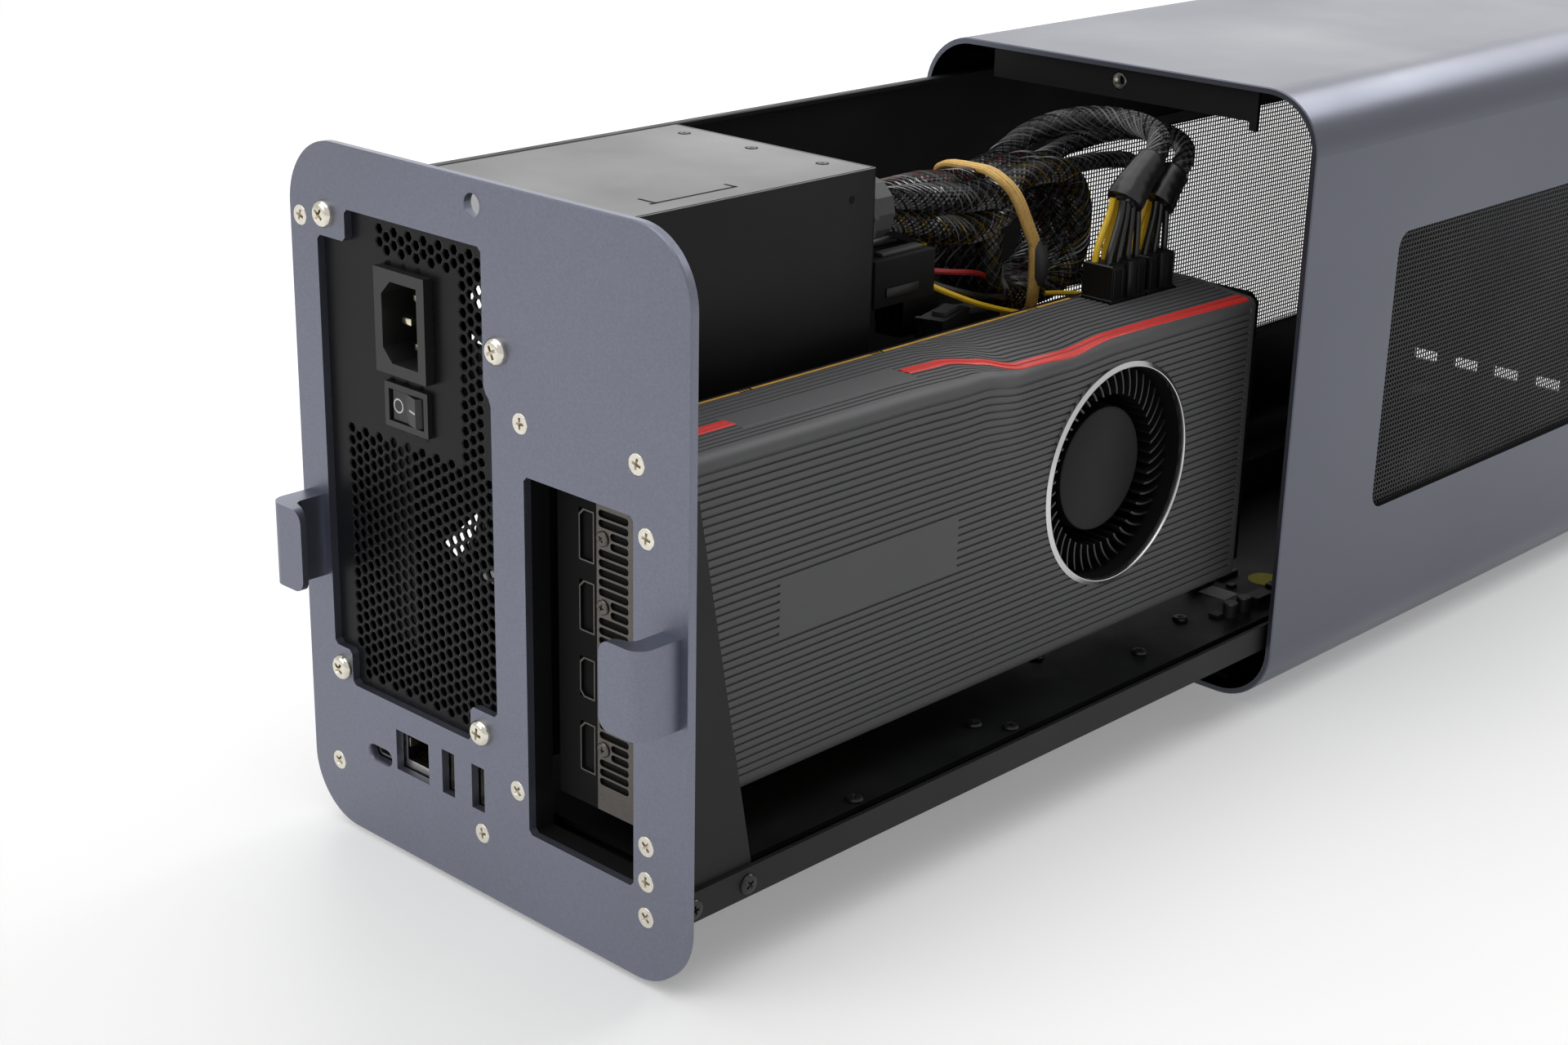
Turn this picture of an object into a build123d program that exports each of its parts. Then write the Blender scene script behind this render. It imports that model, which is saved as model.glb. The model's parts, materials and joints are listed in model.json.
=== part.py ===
from build123d import *
import os
from math import radians, sin, sqrt, tan

os.makedirs("parts", exist_ok=True)

# An external graphics card enclosure with its drawer pulled out of the sleeve, in millimetres.
# X points right seen from the rear plate, Y into the sleeve and Z up.
# The origin is on the table, below the middle of the whole.

# Sleeve
box_r = 20.0
shell_len = 350.0
shell_wall = 2.0
edge_break = 0.4
drawer_out = 273.5
foot_h = 1.5
foot_r = 8.0
foot_inset_x = 27.0
foot_inset_y = 25.0
front_panel_t = 2.0
front_slot_w = 13.0
front_slot_h = 5.0
front_slot_pitch = 20.8
front_slot_count = 7
front_slot_lift = 26.0
window_len = 236.0
window_h = 99.2
window_r = 6.0
window_lift = 58.5
mesh_t = 0.8
mesh_margin = 5.0
mesh_bar = 3.4
mesh_columns = 6
mesh_rows = 2
catch_w = 110.0
catch_t = 1.5
catch_setback = 5.3
catch_depth = 22.0
catch_gap = 1.8
catch_tooth = 3.0
rail_w = 12.0
rail_h = 13.6
rail_t = 1.5
rail_setback = 8.0
fit = 0.15
slide_gap = 0.3

# Rear plate and finger pulls
plate_t = 2.5
thumb_hole_d = 6.4
thumb_hole_drop = 7.1
thumb_hole_shift = -0.7
pull_reach = 14.5
pull_h = 25.3
pull_w = 15.3
pull_wall = 7.0
pull_edge = 3.1
pull_lift = 79.6
pull_tip_t = 2.0
pull_root_t = 4.5
pull_bend_r = 5.0
pull_inner_r = 3.0
pull_tip_r = 4.0

# Screws
flush_head_r = 3.0
flush_inset = 1.5
flush_head_h = 1.2
pan_head_r = 4.0
pan_head_h = 2.5
flange_head_r = 3.0
flange_head_h = 0.9
screw_gap = 0.1
screw_sides = 8

# Drawer tray and side panel
tray_gap = 1.4
tray_t = 1.5
tray_lift = 20.9
tray_flange_h = 9.0
tray_len = 338.0
tray_front_drop = 5.0
skid_w = 8.0
skid_inset = 2.0
skid_setback = 29.6
panel_t = 1.2
panel_flange = 4.5
panel_drop = 0.4
panel_rim = 14.0
panel_tab_h = 16.0
panel_tab_w = 5.0
gusset_t = 1.2
gusset_top = 5.5
gusset_foot = 26.5
gusset_h = 116.0

# Power supply
psu_w = 86.0
psu_h = 150.0
psu_d = 140.0
psu_t = 1.0
psu_inset = 10.6
psu_lift = 45.9
psu_headroom = 14.8
bay_gap = 3.8
psu_screw_inset = 6.0
psu_screw_shift = 16.0
psu_screw_drop = 30.0
opening_left = 2.1
opening_right = 9.2
opening_top = 3.1
opening_low = 1.6
opening_step = 2.9
opening_step_drop = 45.0
lobe_h = 12.5
lobe_top_w = 15.0
lobe_low_w = 10.2
lobe_right_w = 21.0
vent_pitch = 12.4
vent_across = 9.2
vent_margin = 7.0
vent_field_h = 78.0
vent_strip_w = 14.0
inlet_x = 39.0
inlet_z = 118.5
inlet_w = 22.0
inlet_h = 30.0
inlet_rim = 3.0
inlet_wall = 3.3
inlet_depth = 16.0
inlet_corner = 4.0
inlet_mouth = 5.0
pin_w = 2.0
pin_h = 4.0
pin_spacing = 14.0
switch_x = 39.0
switch_z = 94.0
switch_w = 19.0
switch_h = 13.0
switch_rim = 1.6
switch_wall = 1.8
switch_depth = 12.0
rocker_tilt = 8.0
rocker_axis_depth = 2.4
rocker_valley = 3.4
rocker_gap = 0.4
rocker_pin_r = 1.0
rocker_pin_len = 1.0
psu_fan_size = 120.0
psu_fan_depth = 25.0
psu_fan_bore = 57.0
psu_fan_hub_r = 19.0
psu_fan_blade_count = 7
psu_fan_blade_t = 1.6
psu_fan_pitch = 38.0
psu_fan_gap = 1.0
psu_fan_strut = 6.0
psu_fan_plate = 3.0
shaft_r = 2.0
shaft_gap = 0.25
shaft_sides = 12
ring_sides = 24
guard_t = 1.2
guard_bar = 2.0
guard_rings = 2
guard_sides = 12
psu_board_t = 1.6
psu_board_gap = 5.0
psu_sink_h = 26.0
psu_sink_t = 3.0
grommet_r = 10.0
grommet_len = 12.0
grommet_flange = 2.5
grommet_flange_t = 2.0
grommet_sides = 12
grommet_x = 73.0
grommet_z = 134.0

# Main board and rear sockets
board_t = 1.6
board_lift = 2.6
board_x0 = -62.0
board_step_x = 8.0
board_x1 = 70.0
board_len = 322.0
board_setback = 0.6
board_notch = 12.0
standoff_r = 2.5
type_c_x = -49.3
type_c_w = 9.0
type_c_h = 3.3
type_c_len = 9.0
type_c_wall = 0.5
type_c_recess_w = 11.5
type_c_recess_h = 5.5
jack_x = -33.7
jack_w = 15.1
jack_h = 12.9
jack_len = 21.0
jack_wall = 1.4
jack_floor = 2.2
type_a_x = (-17.2, -3.8)
type_a_w = 5.6
type_a_h = 13.8
type_a_len = 18.0
type_a_wall = 0.5
type_a_tongue = 1.8
card_socket_h = 11.3
card_socket_w = 7.5
card_socket_len = 89.0
card_socket_y = 52.5
card_lift = 4.0

# Graphics card
slot_w = 42.8
slot_h = 106.2
slot_margin = 20.8
slot_lift = 27.2
slot_r = 2.5
card_frame_t = 1.2
card_frame_rim = 8.0
card_frame_top_rim = 18.0
card_setback = 6.5
bracket_w = 38.0
bracket_t = 0.9
bracket_inset = 3.2
bracket_tail = 11.7
bracket_rise = 12.0
card_board_t = 1.6
card_board_inset = 3.2
card_h = 101.0
card_len = 270.0
card_board_len = 262.0
card_tongue_len = 84.0
card_tongue_h = 8.0
back_plate_t = 1.8
shroud_depth = 35.2
shroud_wall = 2.0
shroud_r = 3.0
shroud_bulk = 13.0
rib_pitch = 5.6
rib_groove = 2.2
rib_depth = 0.8
rib_margin = 4.0
patch_y = 46.0
patch_len = 74.0
patch_z = 44.0
patch_h = 15.0
dent_y = 165.0
dent_r = 44.0
dent_depth = 6.5
fan_y = 199.0
fan_z = 54.0
fan_hole_r = 34.3
fan_ring_r = 36.5
fan_ring_t = 1.0
fan_ring_wall = 2.6
fan_ring_len = 4.4
fan_surround = 3.0
fan_recess = 7.0
fan_r = 34.0
fan_hub_r = 20.5
fan_blade_count = 20
fan_blade_len = 7.5
fan_blade_t = 0.9
fan_blade_turn = 32.0
fan_plate_t = 1.5
motor_r = 13.0
motor_h = 5.6
stripe_w = 4.6
stripe_t = 0.4
stripe_x = 15.2
stripe_y = 31.0
stripe_len = 15.0
stripe_run = 28.0
stripe_dent_x = 22.5
stripe_end_x = 26.5
sink_len = 132.0
sink_start = 22.0
sink_h = 80.0
sink_base = 4.0
sink_depth = 26.0
sink_fins = 8
sink_fin_t = 1.6
end_cap_t = 5.0
end_cap_inset = 2.0
power_y = 221.0
power_w = 12.0
power_lens = (18.4, 14.2)
power_gap = 1.4
power_drop = 10.0
plug_h = 13.0
notch_gap = 1.0
display_lifts = (69.0, 48.5, 6.7)
display_h = 15.0
video_lift = 29.0
video_h = 12.0
output_w = 5.5
output_base = 3.2
output_len = 14.0
output_wall = 0.5
output_tongue = 1.6
bracket_slot_w = 20.0
bracket_slot_h = 3.2
bracket_slot_count = 12
bracket_slot_pitch = 7.0
bracket_slot_lift = 46.0
bracket_slot_inset = 25.0

# Harness, with its points measured from the power supply's lower left corner at the plate's outer face
lead_a_d = 8.0
lead_b_d = 7.0
loop_d = 6.0
bundle_run = 26.0
bundle_d = 15.0
hank_x = 62.0
hank_y = 238.0
hank_z = 112.0
hank_w = 26.0
hank_len = 56.0
hank_h = 50.0
hank_corner = 16.0
hank_t = 9.0
hank_edge = 3.0
tie_w = 9.0
tie_y = 226.0
tie_t = 1.4
tie_gap = 0.15
tie_knob_r = 5.0
tie_knob_len = 6.0
spare_len = 28.0
spare_w = 9.0
spare_h = 15.0
spare_gap = 2.0
spare_x = 66.0
spare_z = 106.0

# Places worked out from the sizes
box_w = psu_inset + psu_w + bay_gap + slot_w + slot_margin
box_h = psu_lift + psu_h + psu_headroom
base_z = foot_h
mid_z = base_z + box_h / 2
inner_w = box_w - 2 * shell_wall
inner_h = box_h - 2 * shell_wall
inner_r = box_r - shell_wall
floor_z = base_z + shell_wall
roof_z = base_z + box_h - shell_wall
plate_y = -(plate_t + drawer_out + shell_len - pull_reach) / 2
inside_y = plate_y + plate_t
mouth_y = inside_y + drawer_out
end_y = mouth_y + shell_len
window_y = mouth_y + shell_len / 2
window_z = base_z + window_lift + window_h / 2
tray_x = inner_w / 2 - tray_gap
tray_z = base_z + tray_lift
tray_top = tray_z + tray_t
skid_z = floor_z + rail_h + slide_gap
skid_reach = tray_x - skid_setback
psu_x = -box_w / 2 + psu_inset
psu_z = base_z + psu_lift
psu_top = psu_z + psu_h
psu_end = inside_y + psu_d
psu_right = psu_x + psu_w
board_z = tray_top + board_lift
board_top = board_z + board_t
slot_x1 = box_w / 2 - slot_margin
slot_x0 = slot_x1 - slot_w
slot_z0 = base_z + slot_lift
slot_z1 = slot_z0 + slot_h
bracket_y = inside_y + card_setback
bracket_x0 = slot_x0 + bracket_inset
card_x = bracket_x0 + card_board_inset
card_face = card_x + card_board_t
card_y = bracket_y + bracket_t
card_z = board_top + card_socket_h + card_lift
card_top = card_z + card_h
card_end = card_y + card_len
shroud_x = card_face + shroud_depth
fan_axis_y = card_y + fan_y
fan_axis_z = card_z + fan_z
catch_z = psu_top + catch_gap
panel_top = psu_top - panel_drop


def keep(piece, name):
    piece.part.label = name
    export_step(piece.part, f"parts/{name}.step")


def across(y):
    return Plane.XZ.offset(-y)


def block(x0, x1, y0, y1, z0, z1, mode=Mode.ADD):
    with Locations(((x0 + x1) / 2, (y0 + y1) / 2, (z0 + z1) / 2)):
        Box(x1 - x0, y1 - y0, z1 - z0, mode=mode)


# Outer shell: a rounded sleeve with a window in each side
with BuildPart() as outer_shell:
    with BuildSketch(across(mouth_y)):
        with Locations((0, mid_z)):
            RectangleRounded(box_w, box_h, box_r)
    extrude(amount=-shell_len)
    chamfer(outer_shell.faces().sort_by(Axis.Y)[0].edges(), edge_break)
    with BuildSketch(across(mouth_y)):
        with Locations((0, mid_z)):
            RectangleRounded(inner_w, inner_h, inner_r)
    extrude(amount=-shell_len, mode=Mode.SUBTRACT)
    with BuildSketch(Plane.YZ):
        with Locations((window_y, window_z)):
            RectangleRounded(window_len, window_h, window_r)
    extrude(amount=box_w, both=True, mode=Mode.SUBTRACT)
keep(outer_shell, "outer_shell")

# Front panel, let into the far end of the sleeve
with BuildPart() as front_panel:
    with BuildSketch(across(end_y)):
        with Locations((0, mid_z)):
            RectangleRounded(inner_w - 2 * fit, inner_h - 2 * fit, inner_r - fit)
        with Locations((0, base_z + front_slot_lift)):
            with GridLocations(front_slot_pitch, 1, front_slot_count, 1):
                Rectangle(front_slot_w, front_slot_h, mode=Mode.SUBTRACT)
    extrude(amount=front_panel_t)
keep(front_panel, "front_panel")

# Window mesh: a perforated sheet against the inside of each side wall
for side, name in ((-1, "window_mesh_left"), (1, "window_mesh_right")):
    with BuildPart() as window_mesh:
        with BuildSketch(Plane.YZ.offset(side * inner_w / 2)):
            with Locations((window_y, window_z)):
                Rectangle(window_len + 2 * mesh_margin, window_h + 2 * mesh_margin)
                with GridLocations(window_len / mesh_columns, window_h / mesh_rows, mesh_columns, mesh_rows):
                    Rectangle(
                        window_len / mesh_columns - mesh_bar,
                        window_h / mesh_rows - mesh_bar,
                        mode=Mode.SUBTRACT,
                    )
        extrude(amount=-side * mesh_t)
    keep(window_mesh, name)

# Catch bracket: a folded strip under the roof that takes the thumbscrew of the closed drawer
with BuildPart() as catch_bracket:
    with BuildSketch(Plane.YZ.offset(-catch_w / 2)):
        with BuildLine():
            Polyline(
                (mouth_y + catch_setback + catch_t / 2, catch_z),
                (mouth_y + catch_setback + catch_t / 2, roof_z - catch_t / 2),
                (mouth_y + catch_setback + catch_depth, roof_z - catch_t / 2),
            )
        trace(line_width=catch_t)
    extrude(amount=catch_w)
    block(
        catch_w / 2 - catch_tooth,
        catch_w / 2,
        mouth_y + catch_setback,
        mouth_y + catch_setback + catch_t,
        catch_z - catch_tooth,
        catch_z,
    )
    with BuildSketch(across(mouth_y + catch_setback)):
        with Locations((thumb_hole_shift, base_z + box_h - thumb_hole_drop)):
            RegularPolygon(thumb_hole_d / 2, screw_sides)
    extrude(amount=-catch_t, mode=Mode.SUBTRACT)
keep(catch_bracket, "catch_bracket")

# Shell rails: channels on the floor of the sleeve that carry the drawer's skids
for side, name in ((-1, "shell_rail_left"), (1, "shell_rail_right")):
    with BuildPart() as shell_rail:
        with BuildSketch(across(mouth_y + rail_setback)):
            with BuildLine():
                Polyline(
                    (side * (skid_reach + rail_w), floor_z + rail_t / 2),
                    (side * skid_reach, floor_z + rail_t / 2),
                    (side * skid_reach, floor_z + rail_h - rail_t / 2),
                    (side * (skid_reach + rail_w), floor_z + rail_h - rail_t / 2),
                )
            trace(line_width=rail_t)
        extrude(amount=-(shell_len - 2 * rail_setback))
    keep(shell_rail, name)

# Rubber feet
with BuildPart() as rubber_feet:
    with BuildSketch(Plane.XY):
        with Locations((0, mouth_y + shell_len / 2)):
            with GridLocations(box_w - 2 * foot_inset_x, shell_len - 2 * foot_inset_y, 2, 2):
                RegularPolygon(foot_r, shaft_sides)
    extrude(amount=foot_h)
keep(rubber_feet, "rubber_feet")

# Rear plate: the drawer's face, open to the power supply, the card and the sockets
psu_screws_at = [
    (psu_x + psu_screw_inset, psu_top - psu_screw_inset),
    (psu_x + psu_screw_inset, psu_z + psu_screw_inset),
    (psu_right - psu_screw_inset, psu_top - psu_screw_drop),
    (psu_right - psu_screw_shift, psu_z + psu_screw_inset),
]
tray_screws_z = tray_z - tray_front_drop / 4
card_screws_x = slot_x1 + card_frame_rim * 0.6
flush_screws_at = [
    (-tray_x + tray_t, panel_top - panel_tab_h / 2),
    (slot_x0 - card_frame_t, slot_z1 + card_frame_top_rim * 0.8),
    (slot_x1 + card_frame_t, slot_z1 + card_frame_top_rim * 0.8),
    (card_screws_x, slot_z1 - card_frame_rim * 0.6),
    (card_screws_x, slot_z0 + slot_h * 0.13),
    (card_screws_x, slot_z0 + card_frame_rim * 0.4),
    (slot_x0 - card_frame_rim * 0.6, slot_z0 + slot_h * 0.11),
    (card_screws_x, tray_screws_z),
    (slot_x0 - slot_margin, tray_screws_z),
    (psu_x + flush_inset, tray_screws_z),
]
opening_x1 = psu_w - opening_right
opening_z1 = psu_h - opening_top
psu_opening = [
    (opening_left, lobe_h),
    (opening_left, psu_h - lobe_h),
    (lobe_top_w, psu_h - lobe_h),
    (lobe_top_w, opening_z1),
    (opening_x1 - opening_step, opening_z1),
    (opening_x1 - opening_step, psu_h - opening_step_drop + opening_step),
    (opening_x1, psu_h - opening_step_drop),
    (opening_x1, lobe_h),
    (psu_w - lobe_right_w, lobe_h),
    (psu_w - lobe_right_w, opening_low),
    (lobe_low_w, opening_low),
    (lobe_low_w, lobe_h),
]
with BuildPart() as rear_plate:
    with BuildSketch(across(plate_y)):
        with Locations((0, mid_z)):
            RectangleRounded(box_w, box_h, box_r)
    extrude(amount=-plate_t)
    chamfer(rear_plate.faces().sort_by(Axis.Y)[0].edges(), edge_break)
    with BuildSketch(across(plate_y)) as psu_cut:
        with BuildLine():
            Polyline(*[(psu_x + x, psu_z + z) for x, z in psu_opening], close=True)
        make_face()
        chamfer(psu_cut.vertices(), slot_r / 2)
    extrude(amount=-plate_t, mode=Mode.SUBTRACT)
    with BuildSketch(across(plate_y)) as slot_cut:
        with Locations(((slot_x0 + slot_x1) / 2, (slot_z0 + slot_z1) / 2)):
            Rectangle(slot_w, slot_h)
        with Locations((type_c_x, board_top + type_c_h / 2)):
            Rectangle(type_c_recess_w, type_c_recess_h)
        chamfer(slot_cut.vertices(), slot_r / 2)
        with Locations((jack_x, board_top + jack_h / 2)):
            Rectangle(jack_w, jack_h)
        with Locations(*[(x, board_top + type_a_h / 2) for x in type_a_x]):
            Rectangle(type_a_w, type_a_h)
        with Locations((thumb_hole_shift, base_z + box_h - thumb_hole_drop)):
            Circle(thumb_hole_d / 2)
    extrude(amount=-plate_t, mode=Mode.SUBTRACT)
    with BuildSketch(across(plate_y)):
        with Locations(*flush_screws_at):
            RegularPolygon(flush_head_r + screw_gap, screw_sides)
    extrude(amount=-flush_head_h, mode=Mode.SUBTRACT)
keep(rear_plate, "rear_plate")

# Plate screws with heads flush in their counterbores
with BuildPart() as plate_screws:
    with BuildSketch(across(plate_y)):
        with Locations(*flush_screws_at):
            RegularPolygon(flush_head_r, screw_sides)
    extrude(amount=-flush_head_h)
keep(plate_screws, "plate_screws")

# Power supply screws with domed heads on the plate
with BuildPart() as psu_screws:
    with BuildSketch(across(plate_y)):
        with Locations(*psu_screws_at):
            RegularPolygon(pan_head_r, screw_sides)
    extrude(amount=pan_head_h)
    chamfer(psu_screws.faces().sort_by(Axis.Y)[0:4].edges(), pan_head_h / 2)
keep(psu_screws, "psu_screws")

# Finger pulls: angled blocks at the plate's sides, a mirror pair
pull_x1 = box_w / 2 - pull_edge
pull_x0 = pull_x1 - pull_w
with BuildPart() as pull_right:
    with BuildSketch(Plane.XY.offset(base_z + pull_lift)) as pull_section:
        with BuildLine():
            Polyline(
                (pull_x1 - pull_wall, plate_y),
                (pull_x1, plate_y),
                (pull_x1, plate_y - pull_reach),
                (pull_x0, plate_y - pull_reach),
                (pull_x0, plate_y - pull_reach + pull_tip_t),
                (pull_x1 - pull_wall, plate_y - pull_reach + pull_root_t),
                close=True,
            )
        make_face()
        bend = pull_section.vertices().group_by(Axis.X)[-1].sort_by(Axis.Y)[0]
        fillet(bend, pull_bend_r)
    extrude(amount=pull_h)
    root_x = pull_x1 - pull_wall
    inner_edge = pull_right.edges().filter_by(Axis.Z).filter_by(
        lambda e: abs(e.center().X - root_x) < 0.01 and e.center().Y < plate_y - 1
    )
    fillet(inner_edge, pull_inner_r)
    tip_edges = pull_right.faces().sort_by(Axis.X)[0].edges().filter_by(Axis.Y)
    fillet(tip_edges, pull_tip_r)
keep(pull_right, "pull_right")

with BuildPart() as pull_left:
    mirror(pull_right.part, about=Plane.YZ)
keep(pull_left, "pull_left")

# Base tray: a folded channel with a front flange behind the plate
with BuildPart() as base_tray:
    with BuildSketch(across(inside_y)):
        with BuildLine():
            Polyline(
                (-tray_x + tray_t / 2, tray_z + tray_flange_h),
                (-tray_x + tray_t / 2, tray_z + tray_t / 2),
                (tray_x - tray_t / 2, tray_z + tray_t / 2),
                (tray_x - tray_t / 2, tray_z + tray_flange_h),
            )
        trace(line_width=tray_t)
    extrude(amount=-tray_len)
    block(
        -tray_x + inner_r / 2,
        tray_x - inner_r / 2,
        inside_y,
        inside_y + tray_t,
        tray_z - tray_front_drop,
        min(board_z, slot_z0 - card_frame_t) - slide_gap,
    )
keep(base_tray, "base_tray")

# Tray skids: plastic strips under the tray that run on the shell rails
for side, name in ((-1, "tray_skid_left"), (1, "tray_skid_right")):
    with BuildPart() as tray_skid:
        with BuildSketch(Plane.YZ.offset(side * (skid_reach + skid_inset))):
            with BuildLine():
                Polyline(
                    (inside_y + tray_t + skid_inset, tray_z),
                    (inside_y + tray_t + 2 * skid_inset, skid_z),
                    (inside_y + tray_len - 2 * skid_inset, skid_z),
                    (inside_y + tray_len - skid_inset, tray_z),
                    close=True,
                )
            make_face()
        extrude(amount=side * skid_w)
    keep(tray_skid, name)

# Left side panel: a flanged sheet with an air window at the supply's fan, inside the tray's left flange
panel_x = -tray_x + tray_t
panel_foot = tray_z + 2 * tray_t
panel_window_z0 = tray_z + tray_flange_h + panel_rim
panel_window_h = panel_top - panel_rim - panel_window_z0
with BuildPart() as left_side_panel:
    with BuildSketch(across(inside_y)):
        with BuildLine():
            Polyline(
                (panel_x + panel_t / 2, panel_foot),
                (panel_x + panel_t / 2, panel_top - panel_t / 2),
                (panel_x + panel_flange, panel_top - panel_t / 2),
            )
        trace(line_width=panel_t)
    extrude(amount=-tray_len)
    block(
        -tray_x,
        -tray_x + panel_tab_w,
        inside_y,
        inside_y + panel_t,
        panel_top - panel_tab_h,
        panel_top,
    )
    with BuildSketch(Plane.YZ.offset(panel_x)) as panel_windows:
        with Locations((inside_y + psu_d / 2, panel_window_z0 + panel_window_h / 2)):
            Rectangle(psu_d - 2 * panel_rim, panel_window_h)
        chamfer(panel_windows.vertices(), window_r)
    extrude(amount=panel_t, mode=Mode.SUBTRACT)
keep(left_side_panel, "left_side_panel")

# Card frame: the flanged recess behind the plate's card slot
with BuildPart() as card_frame:
    with BuildSketch(across(inside_y)):
        with BuildLine():
            Polyline(
                (slot_x0 - card_frame_rim, slot_z0 - card_frame_t),
                (slot_x1 + card_frame_rim, slot_z0 - card_frame_t),
                (slot_x1 + card_frame_rim, slot_z1 + card_frame_top_rim),
                (psu_right + slide_gap, slot_z1 + card_frame_top_rim),
                (psu_right + slide_gap, psu_z - slide_gap),
                (slot_x0 - card_frame_rim, psu_z - slide_gap),
                close=True,
            )
        make_face()
    extrude(amount=-card_frame_t)
    block(
        slot_x0 - card_frame_t,
        slot_x1 + card_frame_t,
        inside_y,
        bracket_y,
        slot_z0 - card_frame_t,
        slot_z1 + card_frame_t,
    )
    block(slot_x0, slot_x1, inside_y, bracket_y, slot_z0, slot_z1, mode=Mode.SUBTRACT)
keep(card_frame, "card_frame")

# Card gusset: a tapered sheet from the plate to the tray's right flange
gusset_z = tray_z + 2 * tray_t
with BuildPart() as card_gusset:
    with BuildSketch(Plane.YZ.offset(tray_x - tray_t)):
        with BuildLine():
            Polyline(
                (inside_y, gusset_z),
                (inside_y + gusset_foot, gusset_z),
                (inside_y + gusset_foot, tray_z + tray_flange_h),
                (inside_y + gusset_top, gusset_z + gusset_h),
                (inside_y, gusset_z + gusset_h),
                close=True,
            )
        make_face()
    extrude(amount=-gusset_t)
keep(card_gusset, "card_gusset")

# Tray screws: low black heads on the tray's side flanges
tray_screws_y = (inside_y + gusset_foot * 0.12, inside_y + gusset_foot * 0.9)
with BuildPart() as tray_screws:
    with BuildSketch(Plane.YZ.offset(tray_x)):
        with Locations(*[(y, tray_z + tray_flange_h * 0.45) for y in tray_screws_y]):
            RegularPolygon(flange_head_r, screw_sides)
    extrude(amount=flange_head_h)
    mirror(about=Plane.YZ)
keep(tray_screws, "tray_screws")

# Main board: stepped back behind the card frame
with BuildPart() as main_board:
    with BuildSketch(Plane.XY.offset(board_z)):
        with BuildLine():
            Polyline(
                (board_x0, inside_y + board_setback),
                (board_step_x, inside_y + board_setback),
                (board_step_x, inside_y + board_notch),
                (board_x1, inside_y + board_notch),
                (board_x1, inside_y + board_len),
                (board_x0, inside_y + board_len),
                close=True,
            )
        make_face()
    extrude(amount=board_t)
keep(main_board, "main_board")

with BuildPart() as board_standoffs:
    with BuildSketch(Plane.XY.offset(tray_top)):
        with Locations(((board_x0 + board_x1) / 2, inside_y + board_len / 2)):
            with GridLocations(board_x1 - board_x0 - 4 * standoff_r, board_len * 0.45, 2, 3):
                RegularPolygon(standoff_r, 6)
    extrude(amount=board_lift)
keep(board_standoffs, "board_standoffs")

# Card socket: the long connector on the main board
socket_x = card_x + card_board_t / 2
socket_y0 = inside_y + card_socket_y
with BuildPart() as card_socket:
    block(
        socket_x - card_socket_w / 2,
        socket_x + card_socket_w / 2,
        socket_y0,
        socket_y0 + card_socket_len,
        board_top,
        board_top + card_socket_h,
    )
    block(
        card_x - fit,
        card_face + fit,
        socket_y0 + (card_socket_len - card_tongue_len) / 2 - fit,
        socket_y0 + (card_socket_len + card_tongue_len) / 2 + fit,
        card_z - card_tongue_h - fit,
        board_top + card_socket_h,
        mode=Mode.SUBTRACT,
    )
keep(card_socket, "card_socket")

# Rear sockets on the main board
with BuildPart() as type_c_socket:
    with BuildSketch(across(inside_y + board_setback)) as type_c_section:
        with Locations((type_c_x, board_top + type_c_h / 2)):
            Rectangle(type_c_w, type_c_h)
        chamfer(type_c_section.vertices(), type_c_h / 3)
        offset(amount=-type_c_wall, kind=Kind.INTERSECTION, mode=Mode.SUBTRACT)
    extrude(amount=-type_c_len)
    block(
        type_c_x - type_c_w / 2 + type_c_h / 2,
        type_c_x + type_c_w / 2 - type_c_h / 2,
        inside_y + board_setback + type_c_len / 2,
        inside_y + board_setback + type_c_len,
        board_top,
        board_top + type_c_h,
    )
keep(type_c_socket, "type_c_socket")

with BuildPart() as network_jack:
    block(
        jack_x - jack_w / 2 - jack_wall,
        jack_x + jack_w / 2 + jack_wall,
        inside_y + board_setback,
        inside_y + board_setback + jack_len,
        board_top,
        board_top + jack_h + jack_wall,
    )
    block(
        jack_x - jack_w / 2 + jack_wall,
        jack_x + jack_w / 2 - jack_wall,
        inside_y + board_setback,
        inside_y + board_setback + jack_len - jack_floor,
        board_top + jack_floor,
        board_top + jack_h - jack_wall,
        mode=Mode.SUBTRACT,
    )
keep(network_jack, "network_jack")

with BuildPart() as type_a_sockets:
    for x in type_a_x:
        block(
            x - type_a_w / 2,
            x + type_a_w / 2,
            inside_y + board_setback,
            inside_y + board_setback + type_a_len,
            board_top,
            board_top + type_a_h,
        )
        block(
            x - type_a_w / 2 + type_a_wall,
            x + type_a_w / 2 - type_a_wall,
            inside_y + board_setback,
            inside_y + board_setback + type_a_len - 2 * type_a_tongue,
            board_top + type_a_wall,
            board_top + type_a_h - type_a_wall,
            mode=Mode.SUBTRACT,
        )
        block(
            x - type_a_w / 2 + 2 * type_a_wall,
            x - type_a_w / 2 + 2 * type_a_wall + type_a_tongue,
            inside_y + board_setback + type_a_tongue,
            inside_y + board_setback + type_a_len,
            board_top + 3 * type_a_wall,
            board_top + type_a_h - 3 * type_a_wall,
        )
keep(type_a_sockets, "type_a_sockets")

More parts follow.
